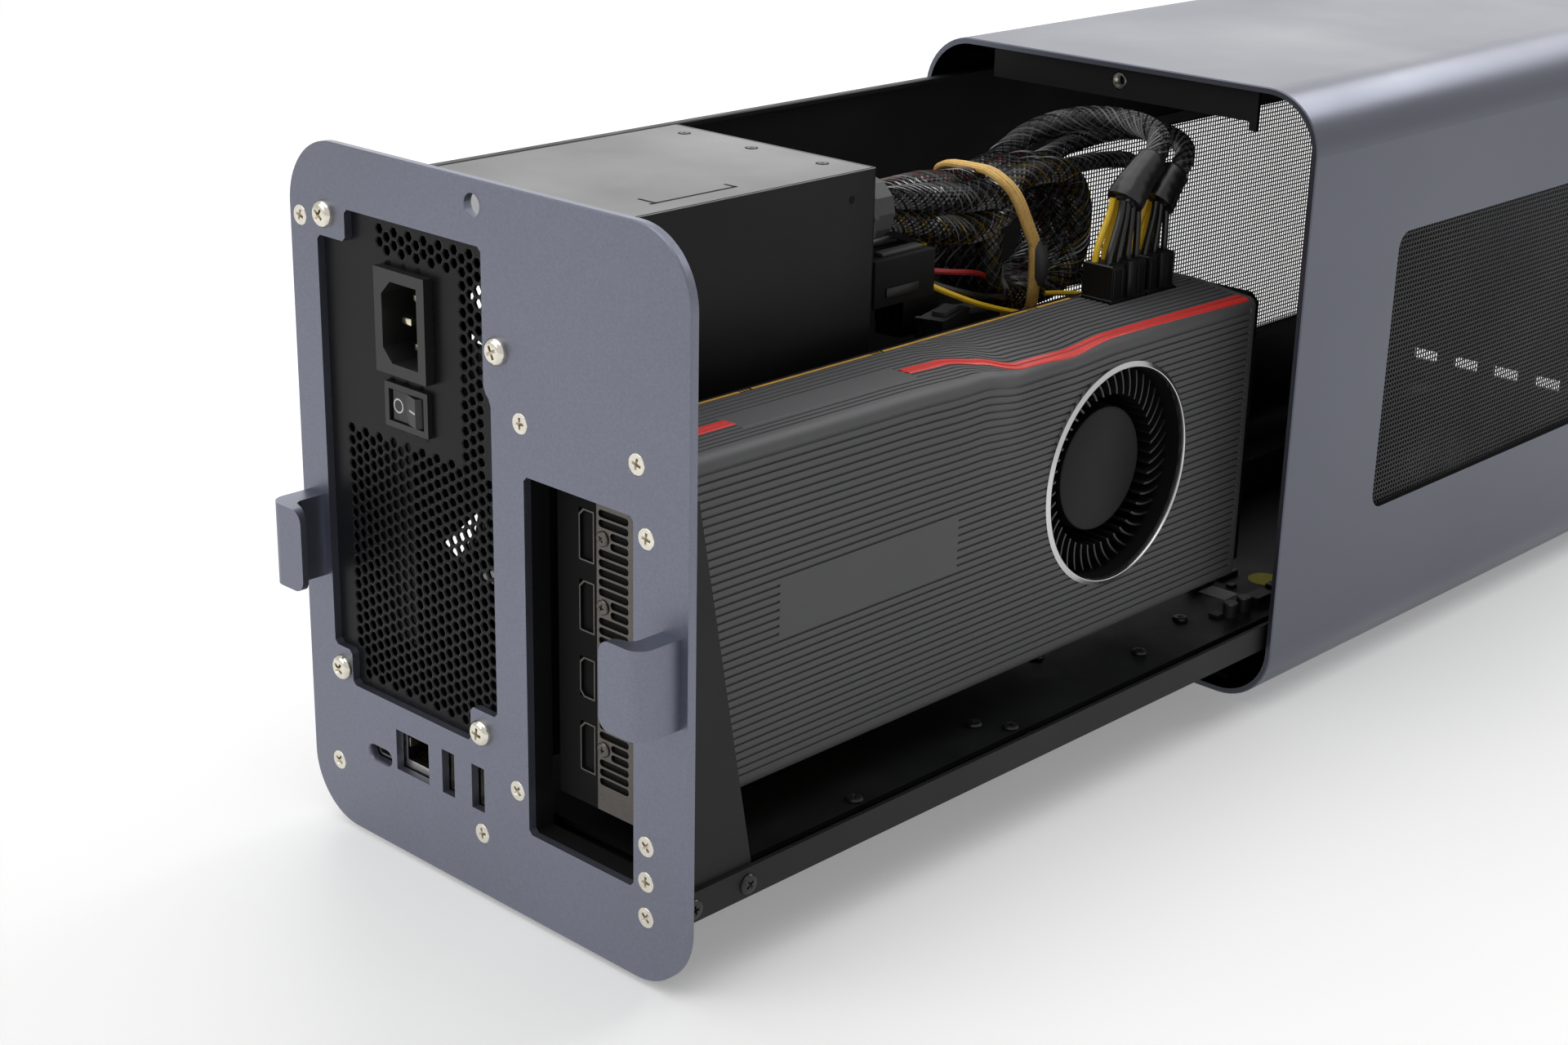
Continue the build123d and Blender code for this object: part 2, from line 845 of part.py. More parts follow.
# Power supply base: rear, right and front walls folded from one sheet
inlet_at = (psu_x + inlet_x, psu_z + inlet_z)
switch_at = (psu_x + switch_x, psu_z + switch_z)
inlet_body_w = inlet_w - inlet_rim
inlet_body_h = inlet_h - inlet_rim
switch_body_w = switch_w - switch_rim
switch_body_h = switch_h - switch_rim
vent_column = vent_pitch * sqrt(3) / 2
vents_at = []
for column in range(int((psu_w - 2 * vent_margin) / vent_column) + 1):
    for row in range(int((psu_h - 2 * vent_margin) / vent_pitch) + 1):
        x = vent_margin + vent_across / 2 + column * vent_column
        z = vent_margin + vent_across / 2 + (row + column % 2 / 2) * vent_pitch
        in_field = z < vent_margin + vent_field_h
        in_strip = x > psu_w - vent_margin - vent_strip_w
        near_screw = any(
            abs(psu_x + x - u) < vent_pitch * 0.8 and abs(psu_z + z - w) < vent_pitch * 0.8
            for u, w in psu_screws_at
        )
        inside = x < psu_w - vent_margin and z < psu_h - vent_margin
        if (in_field or in_strip) and inside and not near_screw:
            vents_at.append((psu_x + x, psu_z + z))
with BuildPart() as psu_base:
    with BuildSketch(Plane.XY.offset(psu_z)):
        with BuildLine():
            Polyline(
                (psu_x, inside_y + psu_t / 2),
                (psu_right - psu_t / 2, inside_y + psu_t / 2),
                (psu_right - psu_t / 2, psu_end - psu_t / 2),
                (psu_x, psu_end - psu_t / 2),
            )
        trace(line_width=psu_t)
    extrude(amount=psu_h)
    with BuildSketch(across(inside_y)):
        with Locations(*vents_at):
            RegularPolygon(vent_across / 2, 6, major_radius=False, rotation=0)
        with Locations(inlet_at):
            Rectangle(inlet_body_w + 2 * fit, inlet_body_h + 2 * fit)
        with Locations(switch_at):
            Rectangle(switch_body_w + 2 * fit, switch_body_h + 2 * fit)
    extrude(amount=-psu_t, mode=Mode.SUBTRACT)
    with BuildSketch(across(psu_end - psu_t)):
        with Locations((psu_x + grommet_x, psu_z + grommet_z)):
            RegularPolygon(grommet_r + fit, grommet_sides)
    extrude(amount=-psu_t, mode=Mode.SUBTRACT)
keep(psu_base, "psu_base")

# Power supply cover: left side with the fan opening, top and bottom
psu_fan_y = inside_y + psu_d / 2
psu_fan_z = psu_z + psu_h / 2
with BuildPart() as psu_cover:
    with BuildSketch(across(inside_y + psu_t + fit)):
        with BuildLine():
            Polyline(
                (psu_right - psu_t - fit, psu_z + psu_t / 2),
                (psu_x + psu_t / 2, psu_z + psu_t / 2),
                (psu_x + psu_t / 2, psu_top - psu_t / 2),
                (psu_right - psu_t - fit, psu_top - psu_t / 2),
            )
        trace(line_width=psu_t)
    extrude(amount=-(psu_d - 2 * psu_t - 2 * fit))
    with BuildSketch(Plane.YZ.offset(psu_x)):
        with Locations((psu_fan_y, psu_fan_z)):
            RegularPolygon(psu_fan_bore, ring_sides, major_radius=False)
    extrude(amount=psu_t, mode=Mode.SUBTRACT)
keep(psu_cover, "psu_cover")

# Power inlet: a rim on the rear wall and a socket with two cut corners
with BuildPart() as power_inlet:
    with BuildSketch(across(inside_y - inlet_rim)):
        with Locations(inlet_at):
            Rectangle(inlet_w, inlet_h)
    extrude(amount=-inlet_rim)
    with BuildSketch(across(inside_y)):
        with Locations(inlet_at):
            Rectangle(inlet_body_w, inlet_body_h)
    extrude(amount=-(inlet_depth - inlet_rim + inlet_wall / 2))
    with BuildSketch(across(inside_y - inlet_rim)) as inlet_mouth_shape:
        with Locations(inlet_at):
            Rectangle(inlet_w - 2 * inlet_wall, inlet_h - 2 * inlet_wall)
        chamfer(inlet_mouth_shape.vertices().group_by(Axis.X)[0], inlet_corner)
    extrude(amount=-inlet_depth, mode=Mode.SUBTRACT)
keep(power_inlet, "power_inlet")

with BuildPart() as inlet_pins:
    with BuildSketch(across(inside_y - inlet_rim + inlet_mouth)):
        with Locations(inlet_at):
            with Locations((-pin_w, pin_spacing / 2), (-pin_w, -pin_spacing / 2), (pin_w, 0)):
                Rectangle(pin_h, pin_w)
    extrude(amount=-(inlet_depth - inlet_mouth))
keep(inlet_pins, "inlet_pins")

# Power switch: a framed rocker on two side pins, tilted to its off side
switch_gap_w = switch_w - 2 * switch_wall
switch_gap_h = switch_h - 2 * switch_wall
rocker_axis_y = inside_y + rocker_axis_depth
with BuildPart() as switch_frame:
    with BuildSketch(across(inside_y - switch_rim)):
        with Locations(switch_at):
            Rectangle(switch_w, switch_h)
    extrude(amount=-switch_rim)
    with BuildSketch(across(inside_y)):
        with Locations(switch_at):
            Rectangle(switch_body_w, switch_body_h)
    extrude(amount=-switch_depth)
    with BuildSketch(across(inside_y - switch_rim)):
        with Locations(switch_at):
            Rectangle(switch_gap_w, switch_gap_h)
    extrude(amount=-(switch_depth + switch_rim - switch_wall), mode=Mode.SUBTRACT)
    with BuildSketch(Plane.XY.offset(switch_at[1])):
        with Locations((switch_at[0], rocker_axis_y)):
            RegularPolygon(rocker_pin_r + slide_gap, shaft_sides, major_radius=False)
    extrude(amount=switch_body_h / 2, both=True, mode=Mode.SUBTRACT)
keep(switch_frame, "switch_frame")

rocker_r = switch_gap_w / 2 - rocker_gap
rocker_half = switch_gap_h / 2 - rocker_gap
rocker_plane = Plane((switch_at[0], rocker_axis_y, switch_at[1]), x_dir=(1, 0, 0), z_dir=(0, 0, 1))
with BuildPart() as switch_rocker:
    with BuildSketch(rocker_plane.rotated((0, 0, -rocker_tilt))):
        Circle(rocker_r)
        with BuildLine():
            Polyline(
                (0, -rocker_valley),
                (rocker_r, -rocker_valley - rocker_r * tan(radians(rocker_tilt))),
                (rocker_r, -2 * rocker_r),
                (-rocker_r, -2 * rocker_r),
                (-rocker_r, -rocker_valley - rocker_r * tan(radians(rocker_tilt))),
                close=True,
            )
        make_face(mode=Mode.SUBTRACT)
        with Locations((0, rocker_r)):
            Rectangle(2 * rocker_r, rocker_r, mode=Mode.SUBTRACT)
    extrude(amount=rocker_half, both=True)
    with BuildSketch(rocker_plane):
        RegularPolygon(rocker_pin_r, shaft_sides)
    extrude(amount=rocker_half + rocker_pin_len, both=True)
keep(switch_rocker, "switch_rocker")

# Power supply fan behind the opening of the cover
psu_fan_x0 = psu_x + psu_t
psu_fan_plane = Plane((psu_fan_x0, psu_fan_y, psu_fan_z), x_dir=(0, 1, 0), z_dir=(1, 0, 0))
with BuildPart() as psu_fan_frame:
    with BuildSketch(psu_fan_plane):
        Rectangle(psu_fan_size, psu_fan_size)
        RegularPolygon(psu_fan_bore, ring_sides, major_radius=False, mode=Mode.SUBTRACT)
    extrude(amount=psu_fan_depth)
    with BuildSketch(psu_fan_plane.offset(psu_fan_depth - psu_fan_plate)):
        Rectangle(psu_fan_size - psu_fan_strut, psu_fan_strut, rotation=45)
        Rectangle(psu_fan_size - psu_fan_strut, psu_fan_strut, rotation=-45)
        RegularPolygon(psu_fan_hub_r, 12)
    extrude(amount=psu_fan_plate)
    with BuildSketch(psu_fan_plane.offset(2 * psu_fan_plate)):
        Circle(shaft_r)
    extrude(amount=psu_fan_depth - 3 * psu_fan_plate)
keep(psu_fan_frame, "psu_fan_frame")

psu_blade_r0 = psu_fan_hub_r - psu_fan_blade_t
psu_blade_r1 = psu_fan_bore - 3 * psu_fan_gap
psu_hub_h = psu_fan_depth - psu_fan_plate - 2 * psu_fan_gap
psu_blade_chord = (psu_hub_h - 2 * psu_fan_gap) / sin(radians(psu_fan_pitch)) - 2 * psu_fan_blade_t
with BuildPart() as psu_fan_rotor:
    with BuildSketch(psu_fan_plane.offset(psu_fan_gap)):
        RegularPolygon(psu_fan_hub_r, 12)
    extrude(amount=psu_hub_h)
    with Locations(psu_fan_plane.offset(psu_fan_gap + psu_hub_h / 2)):
        with PolarLocations((psu_blade_r0 + psu_blade_r1) / 2, psu_fan_blade_count):
            Box(
                psu_blade_r1 - psu_blade_r0,
                psu_blade_chord,
                psu_fan_blade_t,
                rotation=(psu_fan_pitch, 0, 0),
            )
    with BuildSketch(psu_fan_plane.offset(2 * psu_fan_plate - slide_gap)):
        RegularPolygon(shaft_r + shaft_gap, shaft_sides, major_radius=False)
    extrude(amount=psu_fan_depth, mode=Mode.SUBTRACT)
keep(psu_fan_rotor, "psu_fan_rotor")

# Fan guard on the cover: rings joined by two crossing bars
with BuildPart() as psu_fan_guard:
    with BuildSketch(Plane.YZ.offset(psu_x)):
        with Locations((psu_fan_y, psu_fan_z)):
            for ring in range(guard_rings, 0, -1):
                ring_r = (psu_fan_bore + guard_bar) * ring / guard_rings
                RegularPolygon(ring_r + guard_bar / 2, guard_sides)
                RegularPolygon(ring_r - guard_bar / 2, guard_sides, mode=Mode.SUBTRACT)
            Rectangle(2 * psu_fan_bore + 2 * guard_bar, guard_bar, rotation=45)
            Rectangle(2 * psu_fan_bore + 2 * guard_bar, guard_bar, rotation=-45)
    extrude(amount=-guard_t)
keep(psu_fan_guard, "psu_fan_guard")

# Inside the power supply: a board on legs from the right wall, with two heat sinks
psu_board_x = psu_right - psu_t - psu_board_gap
with BuildPart() as psu_board:
    with BuildSketch(Plane.YZ.offset(psu_board_x)):
        with Locations((psu_fan_y, psu_fan_z)):
            Rectangle(psu_d - inlet_h, psu_h - inlet_h)
    extrude(amount=-psu_board_t)
    with BuildSketch(Plane.YZ.offset(psu_board_x)):
        with Locations((psu_fan_y, psu_fan_z)):
            with GridLocations(psu_d - 2 * inlet_h, psu_h - 2 * inlet_h, 2, 2):
                Rectangle(2 * standoff_r, 2 * standoff_r)
    extrude(amount=psu_board_gap)
keep(psu_board, "psu_board")

with BuildPart() as psu_heat_sinks:
    with BuildSketch(Plane.YZ.offset(psu_board_x - psu_board_t)):
        with Locations((psu_fan_y, psu_fan_z)):
            with GridLocations(1, psu_h / 3, 1, 2):
                Rectangle(psu_d / 2, psu_sink_t)
    extrude(amount=-psu_sink_h)
keep(psu_heat_sinks, "psu_heat_sinks")

# Cable grommet in the power supply's front wall
with BuildPart() as cable_grommet:
    with BuildSketch(across(psu_end - psu_t)):
        with Locations((psu_x + grommet_x, psu_z + grommet_z)):
            RegularPolygon(grommet_r, grommet_sides)
            RegularPolygon(bundle_d / 2 + fit, grommet_sides, major_radius=False, mode=Mode.SUBTRACT)
    extrude(amount=-(psu_t + grommet_len))
    with BuildSketch(across(psu_end)):
        with Locations((psu_x + grommet_x, psu_z + grommet_z)):
            RegularPolygon(grommet_r + grommet_flange, grommet_sides)
            RegularPolygon(bundle_d / 2 + fit, grommet_sides, major_radius=False, mode=Mode.SUBTRACT)
    extrude(amount=-grommet_flange_t)
keep(cable_grommet, "cable_grommet")

# Graphics card: circuit board with the tongue that stands in the card socket
with BuildPart() as card_board:
    block(card_x, card_face, card_y, card_y + card_board_len, card_z, card_top)
    block(
        card_x,
        card_face,
        socket_y0 + (card_socket_len - card_tongue_len) / 2,
        socket_y0 + (card_socket_len + card_tongue_len) / 2,
        card_z - card_tongue_h,
        card_z,
    )
keep(card_board, "card_board")

with BuildPart() as card_back_plate:
    with BuildSketch(Plane.YZ.offset(card_x)) as back_outline:
        with Locations((card_y + card_len / 2, card_z + card_h / 2)):
            Rectangle(card_len - 2 * fit, card_h - 2 * fit)
        chamfer(back_outline.vertices(), shroud_r)
    extrude(amount=-back_plate_t)
keep(card_back_plate, "card_back_plate")

# Slot bracket with its sockets and air slots
output_x0 = card_face + output_base
outputs = [(lift, display_h) for lift in display_lifts] + [(video_lift, video_h)]
with BuildPart() as card_bracket:
    block(
        bracket_x0,
        bracket_x0 + bracket_w,
        bracket_y,
        card_y,
        slot_z0 + bracket_tail,
        slot_z1 + bracket_rise,
    )
    with BuildSketch(across(bracket_y)):
        for lift, height in outputs:
            with Locations((output_x0 + output_w / 2, card_z + lift + height / 2)):
                Rectangle(output_w, height)
        with Locations((card_face + bracket_slot_inset - output_base, card_z + bracket_slot_lift)):
            with GridLocations(1, bracket_slot_pitch, 1, bracket_slot_count):
                Rectangle(bracket_slot_w, bracket_slot_h)
    extrude(amount=-bracket_t, mode=Mode.SUBTRACT)
keep(card_bracket, "card_bracket")


def output_socket(lift, height):
    z0 = card_z + lift
    block(
        card_face,
        output_x0 + output_w + output_wall,
        card_y,
        card_y + output_len,
        z0 - output_wall,
        z0 + height + output_wall,
    )
    block(
        output_x0,
        output_x0 + output_w,
        card_y,
        card_y + output_len - output_tongue,
        z0,
        z0 + height,
        mode=Mode.SUBTRACT,
    )
    block(
        output_x0 + output_tongue,
        output_x0 + 2 * output_tongue,
        card_y + output_tongue,
        card_y + output_len,
        z0 + output_tongue,
        z0 + height - output_tongue,
    )


with BuildPart() as display_sockets:
    for lift in display_lifts:
        output_socket(lift, display_h)
keep(display_sockets, "display_sockets")

with BuildPart() as video_socket:
    output_socket(video_lift, video_h)
keep(video_socket, "video_socket")

# Shroud: a ribbed cover with a fan hole, a bare patch, a plug notch and a dent in its upper front edge
power_total = sum(power_lens) + power_gap
with BuildPart() as card_shroud:
    with BuildSketch(across(card_y)) as shroud_section:
        with Locations(((card_face + shroud_x) / 2, card_z + card_h / 2)):
            Rectangle(shroud_depth, card_h)
        fillet(shroud_section.vertices().group_by(Axis.X)[-1], shroud_r)
    extrude(amount=-card_len)
    with BuildSketch(Plane.YZ.offset(shroud_x)):
        with Locations((card_y + card_len / 2, card_z + card_h / 2)):
            with GridLocations(1, rib_pitch, 1, int((card_h - 2 * rib_margin) / rib_pitch)):
                Rectangle(card_len - 2 * rib_margin, rib_groove)
        with Locations((card_y + patch_y + patch_len / 2, card_z + patch_z + patch_h / 2)):
            Rectangle(patch_len, patch_h, mode=Mode.SUBTRACT)
        with Locations((fan_axis_y, fan_axis_z)):
            RegularPolygon(fan_ring_r + fan_surround, ring_sides, mode=Mode.SUBTRACT)
    extrude(amount=-rib_depth, mode=Mode.SUBTRACT)
    with BuildSketch(Plane.XY.offset(card_top)):
        with Locations(((card_face + shroud_x) / 2, card_y + card_len / 2)):
            with GridLocations(rib_pitch, 1, int((shroud_depth - 2 * rib_margin) / rib_pitch), 1):
                Rectangle(rib_groove, card_len - 2 * rib_margin)
    extrude(amount=-rib_depth, mode=Mode.SUBTRACT)
    with BuildSketch(across(card_y)) as shroud_hollow:
        with BuildLine():
            Polyline(
                (card_face, card_z + shroud_wall),
                (shroud_x - shroud_wall, card_z + shroud_wall),
                (shroud_x - shroud_wall, card_top - shroud_wall - shroud_bulk),
                (shroud_x - shroud_wall - shroud_bulk, card_top - shroud_wall),
                (card_face, card_top - shroud_wall),
                close=True,
            )
        make_face()
    extrude(amount=-(card_len - shroud_wall), mode=Mode.SUBTRACT)
    with BuildSketch(Plane.YZ.offset(shroud_x)):
        with Locations((fan_axis_y, fan_axis_z)):
            RegularPolygon(fan_hole_r, ring_sides, major_radius=False)
    extrude(amount=-shroud_bulk, mode=Mode.SUBTRACT)
    dent_out = (dent_r - dent_depth) / sqrt(2)
    with BuildSketch(
        Plane(
            (shroud_x + dent_out, card_y + dent_y, card_top + dent_out),
            x_dir=(0, 1, 0),
            z_dir=(1, 0, -1),
        )
    ):
        Circle(dent_r)
    extrude(amount=shroud_depth, both=True, mode=Mode.SUBTRACT)
    block(
        card_face,
        card_face + power_w + notch_gap,
        card_y + power_y - notch_gap,
        card_y + power_y + power_total + notch_gap,
        card_top - power_drop - notch_gap,
        card_top,
        mode=Mode.SUBTRACT,
    )
keep(card_shroud, "card_shroud")

# Accent stripe in two stretches on the top of the shroud
with BuildPart() as accent_stripe:
    with BuildSketch(Plane.XY.offset(card_top)):
        with Locations((card_face + stripe_x, card_y + stripe_y + stripe_len / 2)):
            Rectangle(stripe_w, stripe_len)
        with BuildLine():
            Polyline(
                (card_face + stripe_x, card_y + patch_y + patch_len),
                (card_face + stripe_x, card_y + dent_y - stripe_run),
                (card_face + stripe_dent_x, card_y + dent_y),
                (card_face + stripe_end_x, card_y + dent_y + stripe_run),
                (card_face + stripe_end_x, card_end - rib_margin),
            )
        trace(line_width=stripe_w)
    extrude(amount=stripe_t)
keep(accent_stripe, "accent_stripe")

# Card fan: a bright ring, a motor with its shaft, and a bladed wheel
with BuildPart() as fan_ring:
    with BuildSketch(Plane.YZ.offset(shroud_x)):
        with Locations((fan_axis_y, fan_axis_z)):
            RegularPolygon(fan_ring_r, ring_sides)
            RegularPolygon(fan_hole_r - fan_ring_wall, ring_sides, mode=Mode.SUBTRACT)
    extrude(amount=fan_ring_t)
    with BuildSketch(Plane.YZ.offset(shroud_x)):
        with Locations((fan_axis_y, fan_axis_z)):
            RegularPolygon(fan_hole_r - fit, ring_sides)
            RegularPolygon(fan_hole_r - fan_ring_wall, ring_sides, mode=Mode.SUBTRACT)
    extrude(amount=-fan_ring_len)
keep(fan_ring, "fan_ring")

wheel_x0 = card_face + motor_h + slide_gap
wheel_x1 = shroud_x - fan_recess
shaft_len = (wheel_x1 - wheel_x0) / 2
with BuildPart() as fan_motor:
    with BuildSketch(Plane.YZ.offset(card_face)):
        with Locations((fan_axis_y, fan_axis_z)):
            RegularPolygon(motor_r, 16)
    extrude(amount=motor_h)
    with BuildSketch(Plane.YZ.offset(card_face + motor_h)):
        with Locations((fan_axis_y, fan_axis_z)):
            Circle(shaft_r)
    extrude(amount=shaft_len)
keep(fan_motor, "fan_motor")

with BuildPart() as fan_wheel:
    with BuildSketch(Plane.YZ.offset(wheel_x0)):
        with Locations((fan_axis_y, fan_axis_z)):
            RegularPolygon(fan_r, ring_sides)
    extrude(amount=fan_plate_t)
    with BuildSketch(Plane.YZ.offset(wheel_x0)):
        with Locations((fan_axis_y, fan_axis_z)):
            RegularPolygon(fan_hub_r, ring_sides)
    extrude(amount=wheel_x1 - wheel_x0)
    with BuildSketch(Plane.YZ.offset(wheel_x0)):
        with Locations((fan_axis_y, fan_axis_z)):
            with PolarLocations(fan_r - fan_blade_len / 2 - fan_blade_t, fan_blade_count):
                Rectangle(fan_blade_len, fan_blade_t, rotation=fan_blade_turn)
    extrude(amount=wheel_x1 - wheel_x0 - fan_plate_t)
    with BuildSketch(Plane.YZ.offset(wheel_x0)):
        with Locations((fan_axis_y, fan_axis_z)):
            RegularPolygon(shaft_r + shaft_gap, shaft_sides, major_radius=False)
    extrude(amount=shaft_len + slide_gap, mode=Mode.SUBTRACT)
keep(fan_wheel, "fan_wheel")

# Heat sink under the shroud, finned along the air's way to the bracket
sink_z0 = card_z + (card_h - sink_h) / 2
with BuildPart() as card_heat_sink:
    block(
        card_face,
        card_face + sink_base,
        card_y + sink_start,
        card_y + sink_start + sink_len,
        sink_z0,
        sink_z0 + sink_h,
    )
    with BuildSketch(Plane.YZ.offset(card_face)):
        with Locations((card_y + sink_start + sink_len / 2, sink_z0 + sink_h / 2)):
            with GridLocations(1, (sink_h - sink_fin_t) / (sink_fins - 1), 1, sink_fins):
                Rectangle(sink_len, sink_fin_t)
    extrude(amount=sink_depth)
keep(card_heat_sink, "card_heat_sink")

with BuildPart() as card_end_cap:
    with BuildSketch(across(card_end)) as cap_outline:
        with Locations(((card_face + shroud_x) / 2, card_z + card_h / 2)):
            Rectangle(shroud_depth - 2 * end_cap_inset, card_h - 2 * end_cap_inset)
        chamfer(cap_outline.vertices(), shroud_r)
    extrude(amount=-end_cap_t)
keep(card_end_cap, "card_end_cap")

# Power sockets of the card and the harness plugs that stand in them
power_starts = (card_y + power_y, card_y + power_y + power_lens[0] + power_gap)
with BuildPart() as power_sockets:
    for start, length in zip(power_starts, power_lens):
        block(
            card_face,
            card_face + power_w,
            start,
            start + length,
            card_top - power_drop,
            card_top - notch_gap,
        )
keep(power_sockets, "power_sockets")

for start, length, name in zip(power_starts, power_lens, ("plug_a", "plug_b")):
    with BuildPart() as plug:
        with BuildSketch(Plane.XY.offset(card_top - notch_gap)):
            with Locations((card_face + power_w / 2, start + length / 2)):
                Rectangle(power_w - 2 * fit, length - 2 * fit)
        extrude(amount=plug_h)
        chamfer(plug.faces().sort_by(Axis.Z)[-1].edges(), edge_break)
    keep(plug, name)


# Harness
def place(points):
    return [Vector(psu_x + x, plate_y + y, psu_z + z) for x, y, z in points]


def bend_radii(points):
    radii = []
    for before, corner, after in zip(points, points[1:], points[2:]):
        run_in = corner - before
        run_out = after - corner
        half_turn = radians(run_in.get_angle(run_out)) / 2
        radii.append(0.45 * min(run_in.length, run_out.length) / tan(half_turn))
    return radii


grommet_y = plate_t + psu_d - psu_t
hank_y0 = hank_y - hank_len / 2
hank_y1 = hank_y + hank_len / 2
plug_x = card_face + power_w / 2 - psu_x
plug_top = card_top - notch_gap + plug_h - psu_z
plug_ys = [start + length / 2 - plate_y for start, length in zip(power_starts, power_lens)]
harness = (
    (
        "harness_bundle",
        bundle_d,
        [
            (grommet_x, grommet_y, grommet_z),
            (grommet_x, grommet_y + bundle_run, grommet_z),
            (66.5, 190, 129),
            (66.5, hank_y0 + 12, 129),
        ],
    ),
    (
        "harness_loop",
        loop_d,
        [
            (68, hank_y1 - 12, 131),
            (68, 290.8, 131),
            (67, 301.9, 123),
            (66, 306.1, 110),
            (66, 301.9, 97),
            (67, 290.8, 89.5),
            (67, hank_y1 - 14, 92),
        ],
    ),
    (
        "power_lead_a",
        lead_a_d,
        [
            (53, 232, 131),
            (52, 245, 135.2),
            (52, 258.4, 141),
            (62, 272.1, 145.5),
            (78, 277.3, 146),
            (94, 272.1, 145.5),
            (104, 261, 142),
            (plug_x, 248.5, 134),
            (plug_x, plug_ys[0], 124),
            (plug_x, plug_ys[0], plug_top),
        ],
    ),
    (
        "power_lead_b",
        lead_b_d,
        [
            (62, 240, 131.5),
            (59.5, 257, 132.5),
            (57, 273.8, 135.5),
            (65.2, 287.5, 139.5),
            (80, 292.5, 141),
            (94.8, 287.5, 139.5),
            (104, 275.5, 136),
            (plug_x, 266, 131),
            (plug_x, plug_ys[1], 121.5),
            (plug_x, plug_ys[1], plug_top),
        ],
    ),
)
for name, diameter, route in harness:
    points = place(route)
    radii = bend_radii(points)
    with BuildPart() as cord:
        with BuildLine() as path:
            FilletPolyline(*points, radius=radii)
        with BuildSketch(Plane(origin=path.line @ 0, z_dir=path.line % 0)):
            Circle(diameter / 2)
        sweep()
    keep(cord, name)

# The hank of folded spare cable: a flat oval of turns, with the tie round its near end
with BuildPart() as harness_hank:
    with BuildSketch(Plane.YZ.offset(psu_x + hank_x - hank_w / 2)) as hank_outline:
        with Locations((plate_y + hank_y, psu_z + hank_z)):
            Rectangle(hank_len, hank_h)
        chamfer(hank_outline.vertices(), hank_corner)
        offset(amount=-hank_t, kind=Kind.INTERSECTION, mode=Mode.SUBTRACT)
    extrude(amount=hank_w)
    chamfer(harness_hank.faces().sort_by(Axis.X)[0].outer_wire().edges(), hank_edge)
    chamfer(harness_hank.faces().sort_by(Axis.X)[-1].outer_wire().edges(), hank_edge)
keep(harness_hank, "harness_hank")

hank_at = (psu_x + hank_x, psu_z + hank_z)
with BuildPart() as harness_tie:
    with BuildSketch(across(plate_y + tie_y - tie_w / 2)) as tie_section:
        with Locations(hank_at):
            Rectangle(hank_w, hank_h)
        chamfer(tie_section.vertices(), hank_edge)
        offset(amount=tie_t, kind=Kind.INTERSECTION)
    extrude(amount=-tie_w)
    with BuildSketch(across(plate_y + tie_y - tie_w / 2)) as tie_hole:
        with Locations(hank_at):
            Rectangle(hank_w, hank_h)
        chamfer(tie_hole.vertices(), hank_edge)
        offset(amount=tie_gap, kind=Kind.INTERSECTION)
    extrude(amount=-tie_w, mode=Mode.SUBTRACT)
    with BuildSketch(Plane.YZ.offset(psu_x + hank_x + hank_w / 2 + tie_t)):
        with Locations((plate_y + tie_y, psu_z + hank_z)):
            RegularPolygon(tie_knob_r, 12)
    extrude(amount=tie_knob_len)
keep(harness_tie, "harness_tie")

with BuildPart() as spare_plugs:
    for x in (spare_x, spare_x + spare_w + spare_gap):
        block(
            psu_x + x,
            psu_x + x + spare_w,
            psu_end + slide_gap,
            psu_end + slide_gap + spare_len,
            psu_z + spare_z,
            psu_z + spare_z + spare_h,
        )
keep(spare_plugs, "spare_plugs")
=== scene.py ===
import contextlib
import json
import math
import random
from types import SimpleNamespace

import bmesh
import bpy
from mathutils import Matrix, Vector


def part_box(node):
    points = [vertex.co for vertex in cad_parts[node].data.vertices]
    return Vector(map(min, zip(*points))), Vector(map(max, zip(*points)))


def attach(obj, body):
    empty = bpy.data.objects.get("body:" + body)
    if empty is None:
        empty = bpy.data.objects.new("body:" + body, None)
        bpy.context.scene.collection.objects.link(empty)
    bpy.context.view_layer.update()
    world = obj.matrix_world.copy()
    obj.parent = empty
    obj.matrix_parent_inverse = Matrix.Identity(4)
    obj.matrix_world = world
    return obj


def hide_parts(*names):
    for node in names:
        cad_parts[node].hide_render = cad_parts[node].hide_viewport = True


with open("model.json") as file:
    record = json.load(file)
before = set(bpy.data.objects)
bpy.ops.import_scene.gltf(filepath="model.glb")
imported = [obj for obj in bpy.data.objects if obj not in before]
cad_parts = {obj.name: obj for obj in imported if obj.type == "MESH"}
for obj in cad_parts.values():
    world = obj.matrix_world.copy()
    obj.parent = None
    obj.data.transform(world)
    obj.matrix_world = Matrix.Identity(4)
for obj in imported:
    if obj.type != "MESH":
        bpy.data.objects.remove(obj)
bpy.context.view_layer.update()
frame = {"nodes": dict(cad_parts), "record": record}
nodes = frame["nodes"]
scene = bpy.context.scene
dice = random.Random(7)

# Lengths below are in millimetres in the row frame, except for the camera, the lamps and the floor.
# The power supply's lower left corner at the plate's outer face is the point from which the harness
# and the card were measured.
PSU_X, PLATE_Y, PSU_Z = -71.4, -305.75, 47.4
PSU_RIGHT, PSU_REAR, PSU_FAR, PSU_TOP = 14.6, -303.25, -163.25, 197.4
BOARD_TOP, SOCKET_Y = 28.1, -302.65
REARWARD, RIGHTWARD, UPWARD = (0, -1, 0), (1, 0, 0), (0, 0, 1)


def row(x, y, z):
    return Vector((x + PSU_X, y + PLATE_Y, z + PSU_Z))


def ease(t):
    t = max(0.0, min(1.0, t))
    return t * t * (3 - 2 * t)


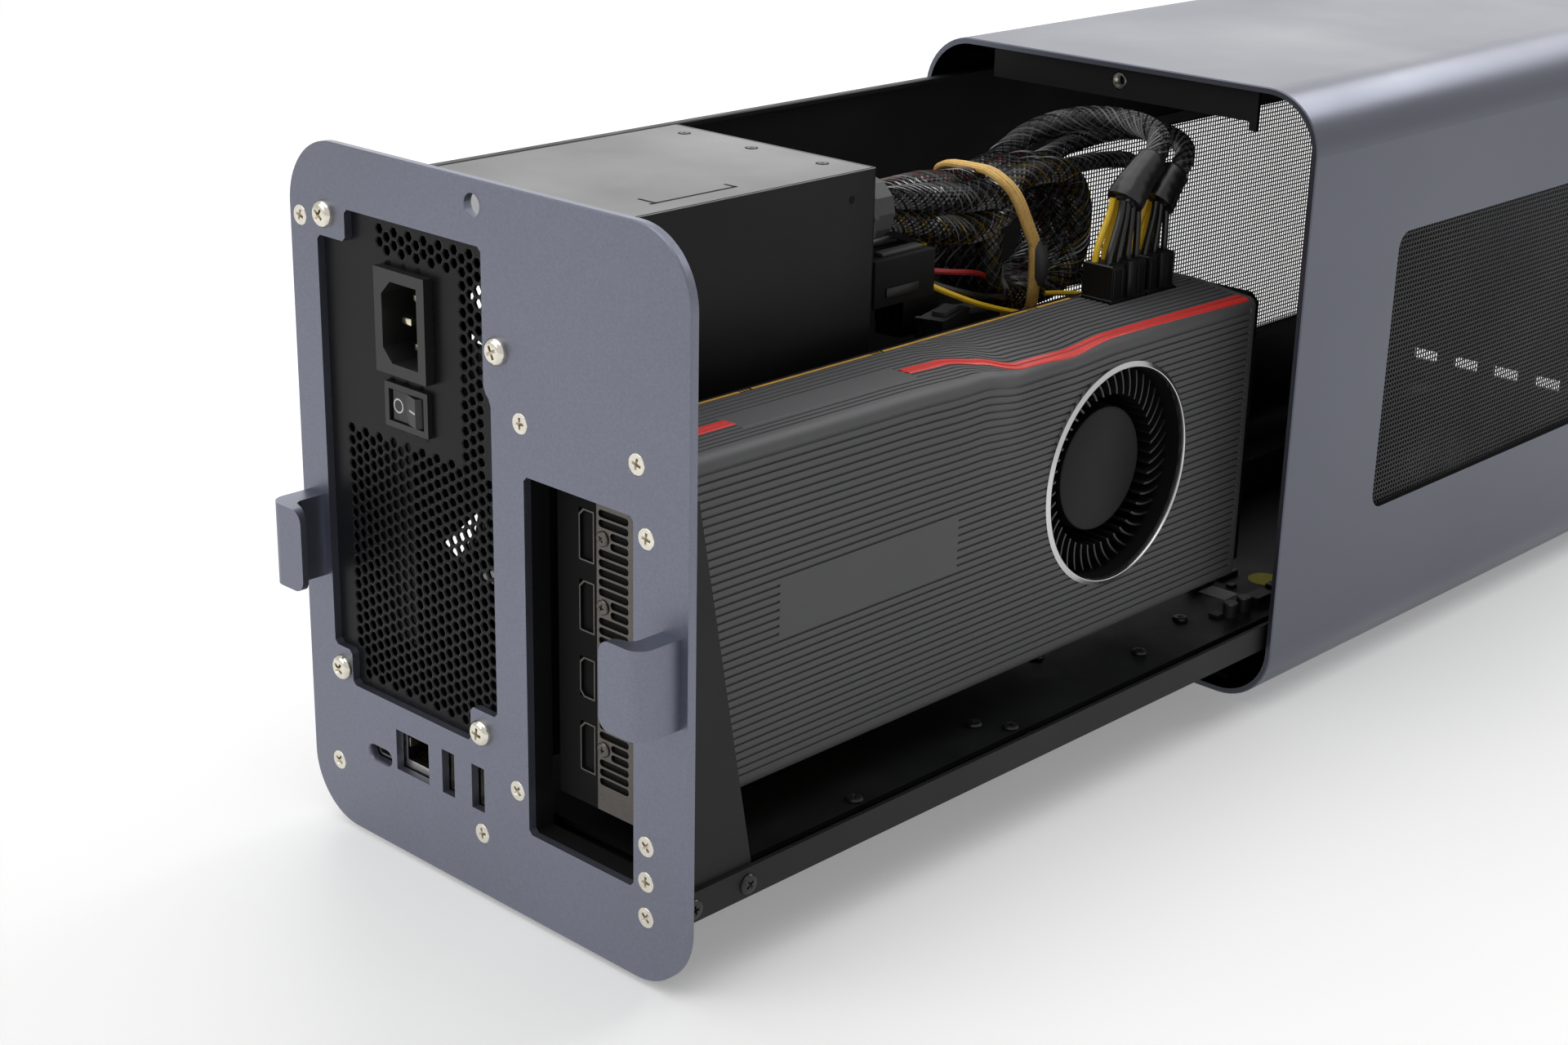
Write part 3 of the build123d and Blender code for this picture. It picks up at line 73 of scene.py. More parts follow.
# Camera and light
def make_camera():
    data = bpy.data.cameras.new("camera")
    data.sensor_fit = "HORIZONTAL"
    data.sensor_width = 36.0
    data.lens = 57.37
    camera = bpy.data.objects.new("camera", data)
    scene.collection.objects.link(camera)
    forward = Vector((-0.6453, 0.6814, -0.3452)).normalized()
    right = forward.cross(Vector((0, 0, 1))).normalized()
    up = right.cross(forward)
    roll = math.radians(1.224)
    turned_right = right * math.cos(roll) + up * math.sin(roll)
    turned_up = up * math.cos(roll) - right * math.sin(roll)
    place = Matrix((turned_right, turned_up, -forward)).transposed().to_4x4()
    place.translation = (0.50017, -0.71335, 0.35415)
    camera.matrix_world = place
    scene.camera = camera


def area_lamp(name, place, target, size, power):
    data = bpy.data.lights.new(name, "AREA")
    data.shape = "RECTANGLE"
    data.size, data.size_y = size
    data.energy = power
    lamp = bpy.data.objects.new(name, data)
    scene.collection.objects.link(lamp)
    lamp.location = place
    lamp.visible_camera = False
    lamp.rotation_euler = (Vector(target) - Vector(place)).to_track_quat("-Z", "Y").to_euler()


make_camera()
area_lamp("top_softbox", (-0.3, -0.3, 2.2), (0, -0.1, 0), (3.0, 2.4), 29.5)
area_lamp("front_softbox", (-0.7, -1.9, 1.2), (0, -0.2, 0.1), (1.6, 1.2), 9.0)
area_lamp("window_softbox", (-1.9, 2.1, 1.25), (0, 0.1, 0.15), (3.0, 1.5), 15.0)
area_lamp("edge_strip", (0.35, 2.3, 1.75), (0.05, 0.1, 0.2), (1.8, 0.35), 22.0)


def add_node(tree, kind, operation=None, second=None, **inputs):
    """A new shader node with its operation, its second input and its named inputs set."""
    node = tree.nodes.new(kind)
    if operation:
        node.operation = operation
    if second is not None:
        node.inputs[1].default_value = second
    for label, value in inputs.items():
        node.inputs[label.replace("_", " ")].default_value = value
    return node


def link(tree, *pairs):
    for source, target in pairs:
        tree.links.new(source, target)


def background_rays(tree):
    """1 for the rays that show the background: from the camera, off metal and through glass."""
    rays = add_node(tree, "ShaderNodeLightPath").outputs
    through = add_node(tree, "ShaderNodeMath", "MAXIMUM")
    shown = add_node(tree, "ShaderNodeMath", "MAXIMUM")
    link(tree, (rays["Is Camera Ray"], through.inputs[0]), (rays["Is Transmission Ray"], through.inputs[1]),
         (through.outputs[0], shown.inputs[0]), (rays["Is Glossy Ray"], shown.inputs[1]))
    return shown.outputs[0]


def make_world():
    world = bpy.data.worlds.new("studio")
    world.use_nodes = True
    tree = world.node_tree
    tree.nodes.clear()
    out = add_node(tree, "ShaderNodeOutputWorld")
    mix = add_node(tree, "ShaderNodeMixShader")
    soft = add_node(tree, "ShaderNodeBackground", Color=(0.97, 0.98, 1.0, 1), Strength=0.18)
    seen = add_node(tree, "ShaderNodeBackground", Color=(0.95, 0.95, 0.94, 1), Strength=0.74)
    link(tree, (background_rays(tree), mix.inputs[0]), (soft.outputs[0], mix.inputs[1]),
         (seen.outputs[0], mix.inputs[2]), (mix.outputs[0], out.inputs[0]))
    scene.world = world


make_world()
scene.view_settings.view_transform = "Standard"

# Materials: colour and roughness, then metal, spread of the colour, scales of the fine and the broad
# noise, strength and depth of the relief
FINISHES = {
    "shell_aluminium": ((0.117, 0.123, 0.153), 0.36, 0.9, 0.05, 2600, 9, 0.25),
    "plate_aluminium": ((0.192, 0.203, 0.253), 0.42, 0.9, 0.14, 1500, 12, 0.6),
    "mesh_black": ((0.02, 0.02, 0.021), 0.5, 0.0, 0.2),
    "frame_black": ((0.007, 0.007, 0.0075), 0.48, 0.0, 0.2, 2200, 20, 0.3),
    "skid_plastic": ((0.012, 0.012, 0.012), 0.45),
    "foot_rubber": ((0.015, 0.015, 0.015), 0.8),
    "screw_steel": ((0.74, 0.70, 0.61), 0.18, 1.0, 0.12, 3000, 300, 0.1),
    "screw_flush": ((0.72, 0.68, 0.60), 0.20, 1.0, 0.15, 3000, 300, 0.1),
    "screw_black": ((0.014, 0.014, 0.014), 0.35, 0.3),
    "standoff_brass": ((0.55, 0.40, 0.16), 0.35, 1.0),
    "board_green": ((0.005, 0.006, 0.0055), 0.5, 0.0, 0.3, 900, 60, 0.1),
    "socket_plastic": ((0.005, 0.005, 0.005), 0.42),
    "socket_steel": ((0.56, 0.54, 0.50), 0.28, 1.0, 0.15, 2000, 80),
    "psu_black": ((0.0075, 0.0075, 0.0085), 0.37, 0.0, 0.18, 3200, 16, 0.3),
    "inlet_plastic": ((0.013, 0.013, 0.013), 0.42, 0.0, 0.15, 2000, 40, 0.2),
    "pin_brass": ((0.75, 0.68, 0.52), 0.25, 1.0),
    "fan_plastic": ((0.012, 0.012, 0.012), 0.4, 0.0, 0.15),
    "sink_aluminium": ((0.5, 0.5, 0.5), 0.35, 1.0),
    "grommet_rubber": ((0.045, 0.045, 0.047), 0.6),
    "card_board_tan": ((0.92, 0.50, 0.10), 0.35, 0.2, 0.2, 600, 120),
    "card_black": ((0.006, 0.006, 0.006), 0.45),
    "shroud_silver": ((0.098, 0.098, 0.102), 0.58, 0.2, 0.10, 2600, 14, 0.2),
    "stripe_red": ((0.86, 0.055, 0.045), 0.36, 0.0, 0.10, 1200, 40, 0.05),
    "ring_chrome": ((0.60, 0.60, 0.60), 0.24, 1.0, 0.04, 2000, 60, 0.02),
    "braid_black": ((0.012, 0.012, 0.013), 0.26, 0.0, 0.35, 1800, 200, 0.1),
    "tie_tan": ((0.95, 0.53, 0.16), 0.65, 0.0, 0.3, 900, 150, 0.5, 0.0002),
    # The rest belong to pieces and faces of the scene alone.
    "bracket_steel": ((0.115, 0.105, 0.095), 0.34, 0.95, 0.25, 1500, 60, 0.15),
    "cover_black": ((0.016, 0.0165, 0.019), 0.33, 0.0, 0.18, 3200, 16, 0.3),
    "wire_yellow": ((0.92, 0.58, 0.025), 0.35, 0.0, 0.12, 900, 90, 0.05),
    "wire_black": ((0.010, 0.010, 0.010), 0.3, 0.0, 0.2, 900, 90, 0.05),
    "wire_red": ((0.35, 0.02, 0.02), 0.38, 0.0, 0.2, 900, 90, 0.05),
    "shrink_black": ((0.010, 0.010, 0.011), 0.30, 0.0, 0.3, 260, 90, 0.3, 0.0003),
    "braid_core": ((0.006, 0.006, 0.006), 0.55),
    # Grey strands among the black ones: a painted highlight for the glints of the glossy braid.
    "braid_grey": ((0.105, 0.105, 0.110), 0.28, 0.0, 0.3),
    "braid_red": ((0.100, 0.012, 0.012), 0.3, 0.0, 0.4),
    "braid_yellow": ((0.120, 0.078, 0.008), 0.3, 0.0, 0.4),
    "mark_white": ((0.75, 0.75, 0.75), 0.5),
    "deep_black": ((0.003, 0.003, 0.003), 0.7),
    "tongue_white": ((0.62, 0.58, 0.48), 0.5),
    "gold_contact": ((0.75, 0.52, 0.18), 0.25, 1.0),
    "label_white": ((0.62, 0.62, 0.60), 0.7),
    "sticker_yellow": ((0.70, 0.62, 0.03), 0.6),
    "shield_grey": ((0.07, 0.07, 0.07), 0.45, 0.6),
    "chip_black": ((0.012, 0.012, 0.013), 0.5),
    "floor_white": ((0.90, 0.90, 0.89), 0.5, 0.0, 0.02, 400, 3, 0.0),
}
PLAIN_GLOSS = 0.5
GLOSS = {"frame_black": 0.25, "board_green": 0.2, "socket_plastic": 0.35, "psu_black": 0.16,
         "card_black": 0.2, "cover_black": 0.55, "deep_black": 0.15}
COAT = {"stripe_red": 0.08}
ROUGH_SPREAD = 0.06
# Colour sockets of a mix node: the two that go in and the one that comes out
COLOR_A, COLOR_B, COLOR_OUT = 6, 7, 2


def shaded(name, color, rough, metal=0.0, vary=0.12, grain=1500.0, broad=25.0, bump=0.1, depth=0.00004):
    """A finish whose colour and roughness follow two noises, the finer of which is its relief."""
    material = bpy.data.materials.new(name)
    material.use_nodes = True
    tree = material.node_tree
    surface = tree.nodes["Principled BSDF"].inputs
    surface["Metallic"].default_value = metal
    surface["Coat Weight"].default_value = COAT.get(name, 0.0)
    surface["Specular IOR Level"].default_value = GLOSS.get(name, PLAIN_GLOSS)
    place = add_node(tree, "ShaderNodeTexCoord").outputs["Object"]
    fine = add_node(tree, "ShaderNodeTexNoise", Scale=grain, Detail=3)
    wide = add_node(tree, "ShaderNodeTexNoise", Scale=broad, Detail=4)
    both = add_node(tree, "ShaderNodeMath", "ADD")
    tone = add_node(tree, "ShaderNodeMapRange", From_Min=0.6, From_Max=1.4)
    mix = add_node(tree, "ShaderNodeMix")
    mix.data_type = "RGBA"
    mix.inputs[COLOR_A].default_value = (*[c * (1 - vary) for c in color], 1)
    mix.inputs[COLOR_B].default_value = (*[min(1, c * (1 + vary)) for c in color], 1)
    gloss = add_node(tree, "ShaderNodeMapRange", From_Min=0.3, From_Max=0.7,
                     To_Min=max(0.02, rough - ROUGH_SPREAD), To_Max=min(1.0, rough + ROUGH_SPREAD))
    link(tree, (place, fine.inputs["Vector"]), (place, wide.inputs["Vector"]),
         (fine.outputs["Fac"], both.inputs[0]), (wide.outputs["Fac"], both.inputs[1]),
         (both.outputs[0], tone.inputs["Value"]), (tone.outputs[0], mix.inputs[0]),
         (mix.outputs[COLOR_OUT], surface["Base Color"]), (wide.outputs["Fac"], gloss.inputs["Value"]),
         (gloss.outputs[0], surface["Roughness"]))
    if bump:
        relief = add_node(tree, "ShaderNodeBump", Strength=bump, Distance=depth)
        link(tree, (fine.outputs["Fac"], relief.inputs["Height"]), (relief.outputs[0], surface["Normal"]))
    return material


finishes = {name: shaded(name, *values) for name, values in FINISHES.items()}
look = SimpleNamespace(**finishes)


def paint_inner_shade(material, centre, color):
    """Paints shade onto a sleeve: its faces that look at its own middle line are blackened."""
    tree = material.node_tree
    base = tree.nodes["Principled BSDF"].inputs["Base Color"]
    coord = add_node(tree, "ShaderNodeTexCoord").outputs
    away = add_node(tree, "ShaderNodeVectorMath", "SUBTRACT", centre)
    across = add_node(tree, "ShaderNodeVectorMath", "MULTIPLY", (1, 0, 1))
    facing = add_node(tree, "ShaderNodeVectorMath", "DOT_PRODUCT")
    inside = add_node(tree, "ShaderNodeMath", "LESS_THAN", -0.001)
    mix = add_node(tree, "ShaderNodeMix")
    mix.data_type = "RGBA"
    mix.inputs[COLOR_B].default_value = (*color, 1)
    link(tree, (coord["Object"], away.inputs[0]), (away.outputs[0], across.inputs[0]),
         (across.outputs[0], facing.inputs[0]), (coord["Normal"], facing.inputs[1]),
         (facing.outputs["Value"], inside.inputs[0]), (base.links[0].from_socket, mix.inputs[COLOR_A]),
         (inside.outputs[0], mix.inputs[0]), (mix.outputs[COLOR_OUT], base))


# Painted shade: the shell's inner faces are blackened.
paint_inner_shade(look.shell_aluminium, (0, 0, 0.106), (0.018, 0.018, 0.020))
slot_of = {s["node"]: s["material_slot"] for s in frame["record"]["subparts"]}
for name, node in nodes.items():
    node.data.materials.clear()
    node.data.materials.append(look.cover_black if name == "psu_cover" else finishes[slot_of[name]])


# Floor
def lifted(material, strength):
    """Adds a pale glow to the background, so that the floor stays near white."""
    tree = material.node_tree
    out = next(n for n in tree.nodes if n.type == "OUTPUT_MATERIAL")
    amount = add_node(tree, "ShaderNodeMath", "MULTIPLY", strength)
    glow = add_node(tree, "ShaderNodeEmission")
    both = add_node(tree, "ShaderNodeAddShader")
    link(tree, (background_rays(tree), amount.inputs[0]), (amount.outputs[0], glow.inputs["Strength"]),
         (tree.nodes["Principled BSDF"].outputs[0], both.inputs[0]), (glow.outputs[0], both.inputs[1]),
         (both.outputs[0], out.inputs["Surface"]))


lifted(look.floor_white, 0.26)
floor_mesh = bpy.data.meshes.new("floor")
floor_mesh.from_pydata([(-5, -5, 0), (5, -5, 0), (5, 5, 0), (-5, 5, 0)], [], [(0, 1, 2, 3)])
floor_mesh.materials.append(look.floor_white)
floor = bpy.data.objects.new("floor", floor_mesh)
scene.collection.objects.link(floor)


# Mesh building
def unit_circle(sides):
    turns = (2 * math.pi * k / sides for k in range(sides))
    return [(math.cos(a), math.sin(a)) for a in turns]


def moving_frames(points):
    """Each point of a line with two directions across it, carried along without twist."""
    side = (points[1] - points[0]).orthogonal().normalized()
    frames = []
    for i, point in enumerate(points):
        ahead = (points[min(i + 1, len(points) - 1)] - points[max(i - 1, 0)]).normalized()
        side = (side - ahead * side.dot(ahead)).normalized()
        frames.append((point, side, ahead.cross(side)))
    return frames


class Build:
    """A mesh in millimetres that becomes one piece of the scene."""

    def __init__(self):
        self.mesh = bmesh.new()
        self.materials = []

    def tint(self, faces, material):
        if material not in self.materials:
            self.materials.append(material)
        for face in faces:
            face.material_index = self.materials.index(material)

    @contextlib.contextmanager
    def tinted(self, material):
        """Gives one material to the faces that are made in the block."""
        count = len(self.mesh.faces)
        yield
        self.mesh.faces.ensure_lookup_table()
        self.tint(self.mesh.faces[count:], material)

    def verts(self, points):
        return [self.mesh.verts.new(p) for p in points]

    def ring(self, centre, one, two, radius, sides):
        return self.verts(centre + (one * c + two * s) * radius for c, s in unit_circle(sides))

    def bridge(self, one, two, closed=True):
        """Faces between two rows of as many vertices."""
        for k in range(len(one) if closed else len(one) - 1):
            m = (k + 1) % len(one)
            self.mesh.faces.new((one[k], one[m], two[m], two[k]))

    def box(self, low, high, material, soft=0.0, steps=2):
        low, high = Vector(low), Vector(high)
        with self.tinted(material):
            verts = bmesh.ops.create_cube(self.mesh, size=1.0)["verts"]
            for vert in verts:
                vert.co = Vector(a + (c + 0.5) * (b - a) for a, b, c in zip(low, high, vert.co))
            if soft:
                edges = list({e for v in verts for e in v.link_edges})
                bmesh.ops.bevel(self.mesh, geom=edges, offset=soft, segments=steps, profile=0.5,
                                affect="EDGES")

    def lathe(self, origin, axis, profile, sides, material):
        """A turned form from (radius, height) pairs, closed where the last radius is zero."""
        axis = Vector(axis).normalized()
        across = axis.orthogonal().normalized()
        third = axis.cross(across)
        rings = []
        for r, h in profile:
            centre = Vector(origin) + axis * h
            rings.append(self.ring(centre, across, third, r, sides) if r else self.verts([centre]))
        with self.tinted(material):
            for one, two in zip(rings, rings[1:]):
                if len(two) > 1:
                    self.bridge(one, two)
                    continue
                for k in range(sides):
                    self.mesh.faces.new((one[k], one[(k + 1) % sides], two[0]))
        return rings

    def tube(self, points, radius, sides, material, caps=True):
        frames = moving_frames([Vector(p) for p in points])
        sizes = radius if isinstance(radius, list) else [radius] * len(frames)
        rings = [self.ring(*place, r, sides) for place, r in zip(frames, sizes)]
        with self.tinted(material):
            for one, two in zip(rings, rings[1:]):
                self.bridge(one, two)
            if caps:
                self.mesh.faces.new(rings[0][::-1])
                self.mesh.faces.new(rings[-1])

    def slab(self, outline, push, material):
        low = self.verts(outline)
        high = self.verts(Vector(p) + Vector(push) for p in outline)
        with self.tinted(material):
            self.mesh.faces.new(low[::-1])
            self.mesh.faces.new(high)
            self.bridge(low, high)

    def done(self, name, body, slot, replaces=(), angle=35, tidy=True):
        if tidy:
            bmesh.ops.recalc_face_normals(self.mesh, faces=self.mesh.faces)
        bmesh.ops.scale(self.mesh, vec=(0.001, 0.001, 0.001), verts=self.mesh.verts)
        data = bpy.data.meshes.new(name)
        self.mesh.to_mesh(data)
        self.mesh.free()
        for material in self.materials:
            data.materials.append(material)
        data.polygons.foreach_set("use_smooth", [True] * len(data.polygons))
        data.set_sharp_from_angle(angle=math.radians(angle))
        piece = bpy.data.objects.new(name, data)
        scene.collection.objects.link(piece)
        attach(piece, body)
        if replaces:
            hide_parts(*replaces)
        return piece


def islands(name):
    """The boxes of a node's separate solids, whose corners are matched to a hundredth of a millimetre."""
    data = nodes[name].data
    owner = {}

    def root(key):
        while owner[key] != key:
            owner[key] = owner[owner[key]]
            key = owner[key]
        return key

    keys = [tuple(round(c * 1e5) for c in v.co) for v in data.vertices]
    for key in keys:
        owner.setdefault(key, key)
    for polygon in data.polygons:
        first = root(keys[polygon.vertices[0]])
        for i in polygon.vertices[1:]:
            owner[root(keys[i])] = first
    groups = {}
    for key in owner:
        groups.setdefault(root(key), []).append(Vector(key) / 100)
    boxes = []
    for points in groups.values():
        low = Vector(min(p[i] for p in points) for i in range(3))
        high = Vector(max(p[i] for p in points) for i in range(3))
        boxes.append((low, high))
    return sorted(boxes, key=lambda b: tuple(b[0]))


def node_box(name):
    return [Vector(v) * 1000 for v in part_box(name)]


# Cords of the harness, on the routes of their solids
def spline_curve(name, route, diameter):
    data = bpy.data.curves.new(name, "CURVE")
    data.dimensions = "3D"
    data.resolution_u = 10
    data.bevel_depth = diameter / 2000
    data.bevel_resolution = 5
    data.use_fill_caps = True
    line = data.splines.new("NURBS")
    line.points.add(len(route) - 1)
    for slot, point in zip(line.points, route):
        slot.co = (*(row(*point) / 1000), 1)
    line.order_u = 3
    line.use_endpoint_u = True
    data.materials.append(look.braid_core)
    piece = bpy.data.objects.new(name, data)
    scene.collection.objects.link(piece)
    return piece


def line_of(piece):
    """Points along a curve piece's own line."""
    bare = piece.copy()
    bare.data = piece.data.copy()
    bare.data.bevel_depth = 0
    scene.collection.objects.link(bare)
    bpy.context.view_layer.update()
    mesh = bpy.data.meshes.new_from_object(bare.evaluated_get(bpy.context.evaluated_depsgraph_get()))
    points = [v.co * 1000 for v in mesh.vertices]
    bpy.data.objects.remove(bare)
    bpy.data.meshes.remove(mesh)
    return points


def route_line(route):
    """Points along the NURBS spline of a route."""
    piece = spline_curve("route", route, 1.0)
    line = line_of(piece)
    bpy.data.objects.remove(piece)
    return line


def length_of(points):
    return sum((b - a).length for a, b in zip(points, points[1:]))


def even(points, step):
    """Points at an even spacing along a line."""
    out, carry = [points[0]], 0.0
    for a, b in zip(points, points[1:]):
        run = (b - a).length
        while carry + run >= step:
            a = a.lerp(b, (step - carry) / run)
            run = (b - a).length
            carry = 0.0
            out.append(a)
        carry += run
    return out


def braid(build, points, radius, pitch, thick, materials):
    """Crossing filaments wound both ways round a line, over and under by a small lift."""
    steps, strands, lift = 40, 12, 0.1
    frames = moving_frames(even(points, pitch / steps))
    sizes = radius if isinstance(radius, list) else [radius]
    for way in (1, -1):
        for k in range(strands):
            path = []
            for i, (point, one, two) in enumerate(frames):
                a = way * 2 * math.pi * i / steps + 2 * math.pi * k / strands
                r = sizes[i * len(sizes) // len(frames)] + lift * way
                path.append(point + (one * math.cos(a) + two * math.sin(a)) * r)
            build.tube(path, thick, 3, materials[k % len(materials)], caps=False)


# The grey strands paint the glints of the glossy black braid.
filament = [look.braid_black, look.braid_grey]
red_filament = [*filament, look.braid_black, look.braid_red]
yellow_filament = [*filament, look.braid_black, look.braid_yellow]

lead_a = [(53, 232, 131), (52, 245, 135.2), (52, 258.4, 141), (62, 272.1, 145.5), (78, 277.3, 146),
          (94, 272.1, 145.5), (104, 261, 142), (103.8, 248.5, 134), (103.8, 242.5, 127)]
lead_b = [(62, 240, 131.5), (59.5, 257, 132.5), (57, 273.8, 135.5), (65.2, 287.5, 139.5), (80, 292.5, 141),
          (94.8, 287.5, 139.5), (104, 275.5, 136), (103.8, 266, 131), (103.8, 260, 124.5)]
loop = [(68, 254, 131), (68, 290.8, 131), (67, 301.9, 123), (66, 306.1, 110), (66, 301.9, 97),
        (67, 290.8, 89.5), (67, 252, 92)]


def sleeved_cord(name, route, diameter):
    piece = spline_curve(name + "_cord", route, diameter - 0.8)
    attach(piece, "drawer")
    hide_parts(name)
    line = line_of(piece)
    sleeve = Build()
    braid(sleeve, line, diameter / 2 - 0.4, diameter * 3.6, 0.36, filament)
    cover = sleeve.done(name + "_braid", "drawer", "braid_black", tidy=False)
    return piece, cover, line


def plug_wires(name, plug, gather, count, yellow):
    """Wires from the mouth of a sleeve down to the holes of a plug, in two rows."""
    build = Build()
    spread, margin, radius, steps = 5.0, 3.0, 1.15, 8
    low, high = node_box(plug)
    middle = (low + high) / 2
    for lane in (-0.5, 0.5):
        for k in range(count):
            x = middle.x + lane * spread
            y = middle.y + (k - (count - 1) / 2) * (high.y - low.y - margin) / (count - 1)
            foot = Vector((x, y, high.z - 1.0))
            mouth = Vector((gather.x + (x - middle.x) * 0.75, gather.y + (y - middle.y) * 0.55, gather.z))
            points = []
            for i in range(steps + 1):
                t = i / steps
                spot = foot.lerp(mouth, ease(t) if abs(foot.y - mouth.y) > 1 else t)
                spot.z = foot.z + (mouth.z - foot.z) * t
                spot.x += math.sin(math.pi * t) * 0.5 * lane
                points.append(spot)
            material = look.wire_yellow if lane < 0 and k < yellow else look.wire_black
            build.tube(points, radius, 10, material)
    return build.done(name, "drawer", "braid_black")


def shrink_sleeve(name, line, start, stop, radii):
    """A heat-shrunk sleeve over part of a cord's line."""
    build = Build()
    step = 0.8
    part = even(line, step)[int(start / step):int(stop / step)]
    sizes = []
    for i in range(len(part)):
        size = radii[0] + (radii[1] - radii[0]) * ease(i / (len(part) - 1))
        sizes.append(size + 0.05 * math.sin(i * 1.3) + 0.06 * math.sin(i * 0.45))
    sizes[0] -= 0.5
    build.tube(part, sizes, 28, look.shrink_black)
    return build.done(name, "drawer", "braid_black")


cord_a = sleeved_cord("power_lead_a", lead_a, 8.0)
cord_b = sleeved_cord("power_lead_b", lead_b, 7.0)
cord_loop = sleeved_cord("harness_loop", loop, 6.0)
long_a, long_b = length_of(cord_a[2]), length_of(cord_b[2])
sleeve_a = shrink_sleeve("lead_sleeve_a", cord_a[2], long_a - 19.0, long_a + 1.0, (5.0, 6.3))
sleeve_b = shrink_sleeve("lead_sleeve_b", cord_b[2], long_b - 13.0, long_b + 1.0, (5.0, 6.6))
wires_a = plug_wires("lead_wires_a", "plug_a", row(103.8, 243.5, 129), 4, 2)
wires_b = plug_wires("lead_wires_b", "plug_b", row(103.8, 260.5, 126), 3, 2)


def bundle():
    """Sleeved cables that fan out of the grommet towards the hank."""
    core, cover = Build(), Build()
    for (dx, dz), (ex, ez), size, colours in (
        ((-3.2, 3.4), (1.5, 8.0), 9.0, red_filament), ((3.4, 3.0), (6.5, 4.5), 9.5, filament),
        ((-2.6, -3.2), (-5.0, -2.0), 9.0, filament), ((3.2, -3.4), (6.2, -6.0), 9.5, yellow_filament),
    ):
        path = route_line([
            (73 + dx, 146, 134 + dz), (73 + dx, 160, 134 + dz), (70 + ex * 0.8, 178, 129.5 + ez * 0.9),
            (66.5 + ex, 196, 126 + ez), (66.5 + ex * 0.9, 212, 125 + ez),
            (66.5 + ex * 0.8, 224, 126 + ez * 0.4)])
        wide = [min(size / 2, 3.3 + 5.6 * max(0.0, i / len(path) - 0.2)) for i in range(len(path))]
        core.tube(path, [w - 0.3 for w in wide], 18, look.braid_core)
        braid(cover, path, wide, size * 3.4, 0.38, colours)
    core.done("harness_bundle_cores", "drawer", "braid_black", ["harness_bundle"])
    cover.done("harness_bundle_braid", "drawer", "braid_black", tidy=False)


def bulge(value, power):
    return math.copysign(abs(value) ** power, value)


def hank():
    """Four turns of sleeved cable in a flat oval, held by a paper tie with a dark end."""
    core, cover = Build(), Build()
    middle_y, middle_z, oval, squarish = 238, 112, 0.75, 0.45
    for x, a, b, lean, colours in (
        (53.4, 23.0, 20.2, 0.0, filament), (59.6, 23.6, 20.6, 0.06, red_filament),
        (65.6, 23.2, 20.0, -0.05, filament), (71.2, 23.6, 20.5, 0.03, yellow_filament),
    ):
        path = []
        for i in range(65):
            t = 2 * math.pi * i / 64
            y, z = a * bulge(math.cos(t), oval), b * bulge(math.sin(t), oval)
            path.append(row(x + 0.8 * math.sin(2 * t + x), middle_y + y + lean * z, middle_z + z))
        core.tube(path, 4.0, 16, look.braid_core, caps=False)
        braid(cover, path, 4.1, 29.0, 0.36, colours)
    core.done("harness_hank_cores", "drawer", "braid_black", ["harness_hank"])
    cover.done("harness_hank_braid", "drawer", "braid_black", tidy=False)

    tie = Build()
    band = []
    for i in range(61):
        t = 2 * math.pi * i / 60
        c, s = math.cos(t), math.sin(t)
        x = (19.6 if c > 0 else 13.2) * bulge(c, squarish)
        z = (25.4 + 2.0 * c if s > 0 else 26.2) * bulge(s, squarish)
        lean = 0.62 if z > 0 else 0.1
        band.append(row(62 + x, 226 - lean * z + 0.6 * math.sin(5 * t), middle_z + z))
    for shift, size in ((-1.5, 1.15), (0.0, 1.35), (1.5, 1.15)):
        tie.tube([p + Vector((0, shift, 0)) for p in band], size, 8, look.tie_tan, caps=False)
    tie.done("harness_tie_band", "drawer", "tie_tan", ["harness_tie"])
    knob = Build()
    knob.tube([row(81.4, 226.5, 113), row(82.0, 227.8, 109), row(82.2, 228.4, 102), row(81.6, 228.6, 98.5)],
              [1.6, 3.0, 3.0, 1.8], 18, look.grommet_rubber)
    knob.done("harness_tie_end", "drawer", "tie_tan")


def loose_wires():
    build = Build()
    for route, material in (
        ([(70, 170, 114), (71, 178, 115), (70, 190, 121), (68, 202, 126)], look.wire_yellow),
        ([(72, 170, 112), (74, 180, 110), (72, 192, 114), (68, 206, 122)], look.wire_black),
        ([(80, 170, 113), (83, 180, 111), (80, 194, 108), (74, 208, 104), (70, 218, 100)], look.wire_red),
        ([(82, 170, 110), (86, 182, 105), (84, 198, 100), (78, 214, 96), (72, 226, 92)], look.wire_black),
        ([(84, 170, 109), (88, 184, 102), (88, 204, 95), (86, 222, 90), (80, 236, 88)], look.wire_yellow),
        ([(76, 240, 92), (82, 250, 92), (86, 262, 88), (86, 274, 80)], look.wire_yellow),
    ):
        build.tube(route_line(route), 0.95, 8, material)
    build.done("loose_wires", "drawer", "braid_black")


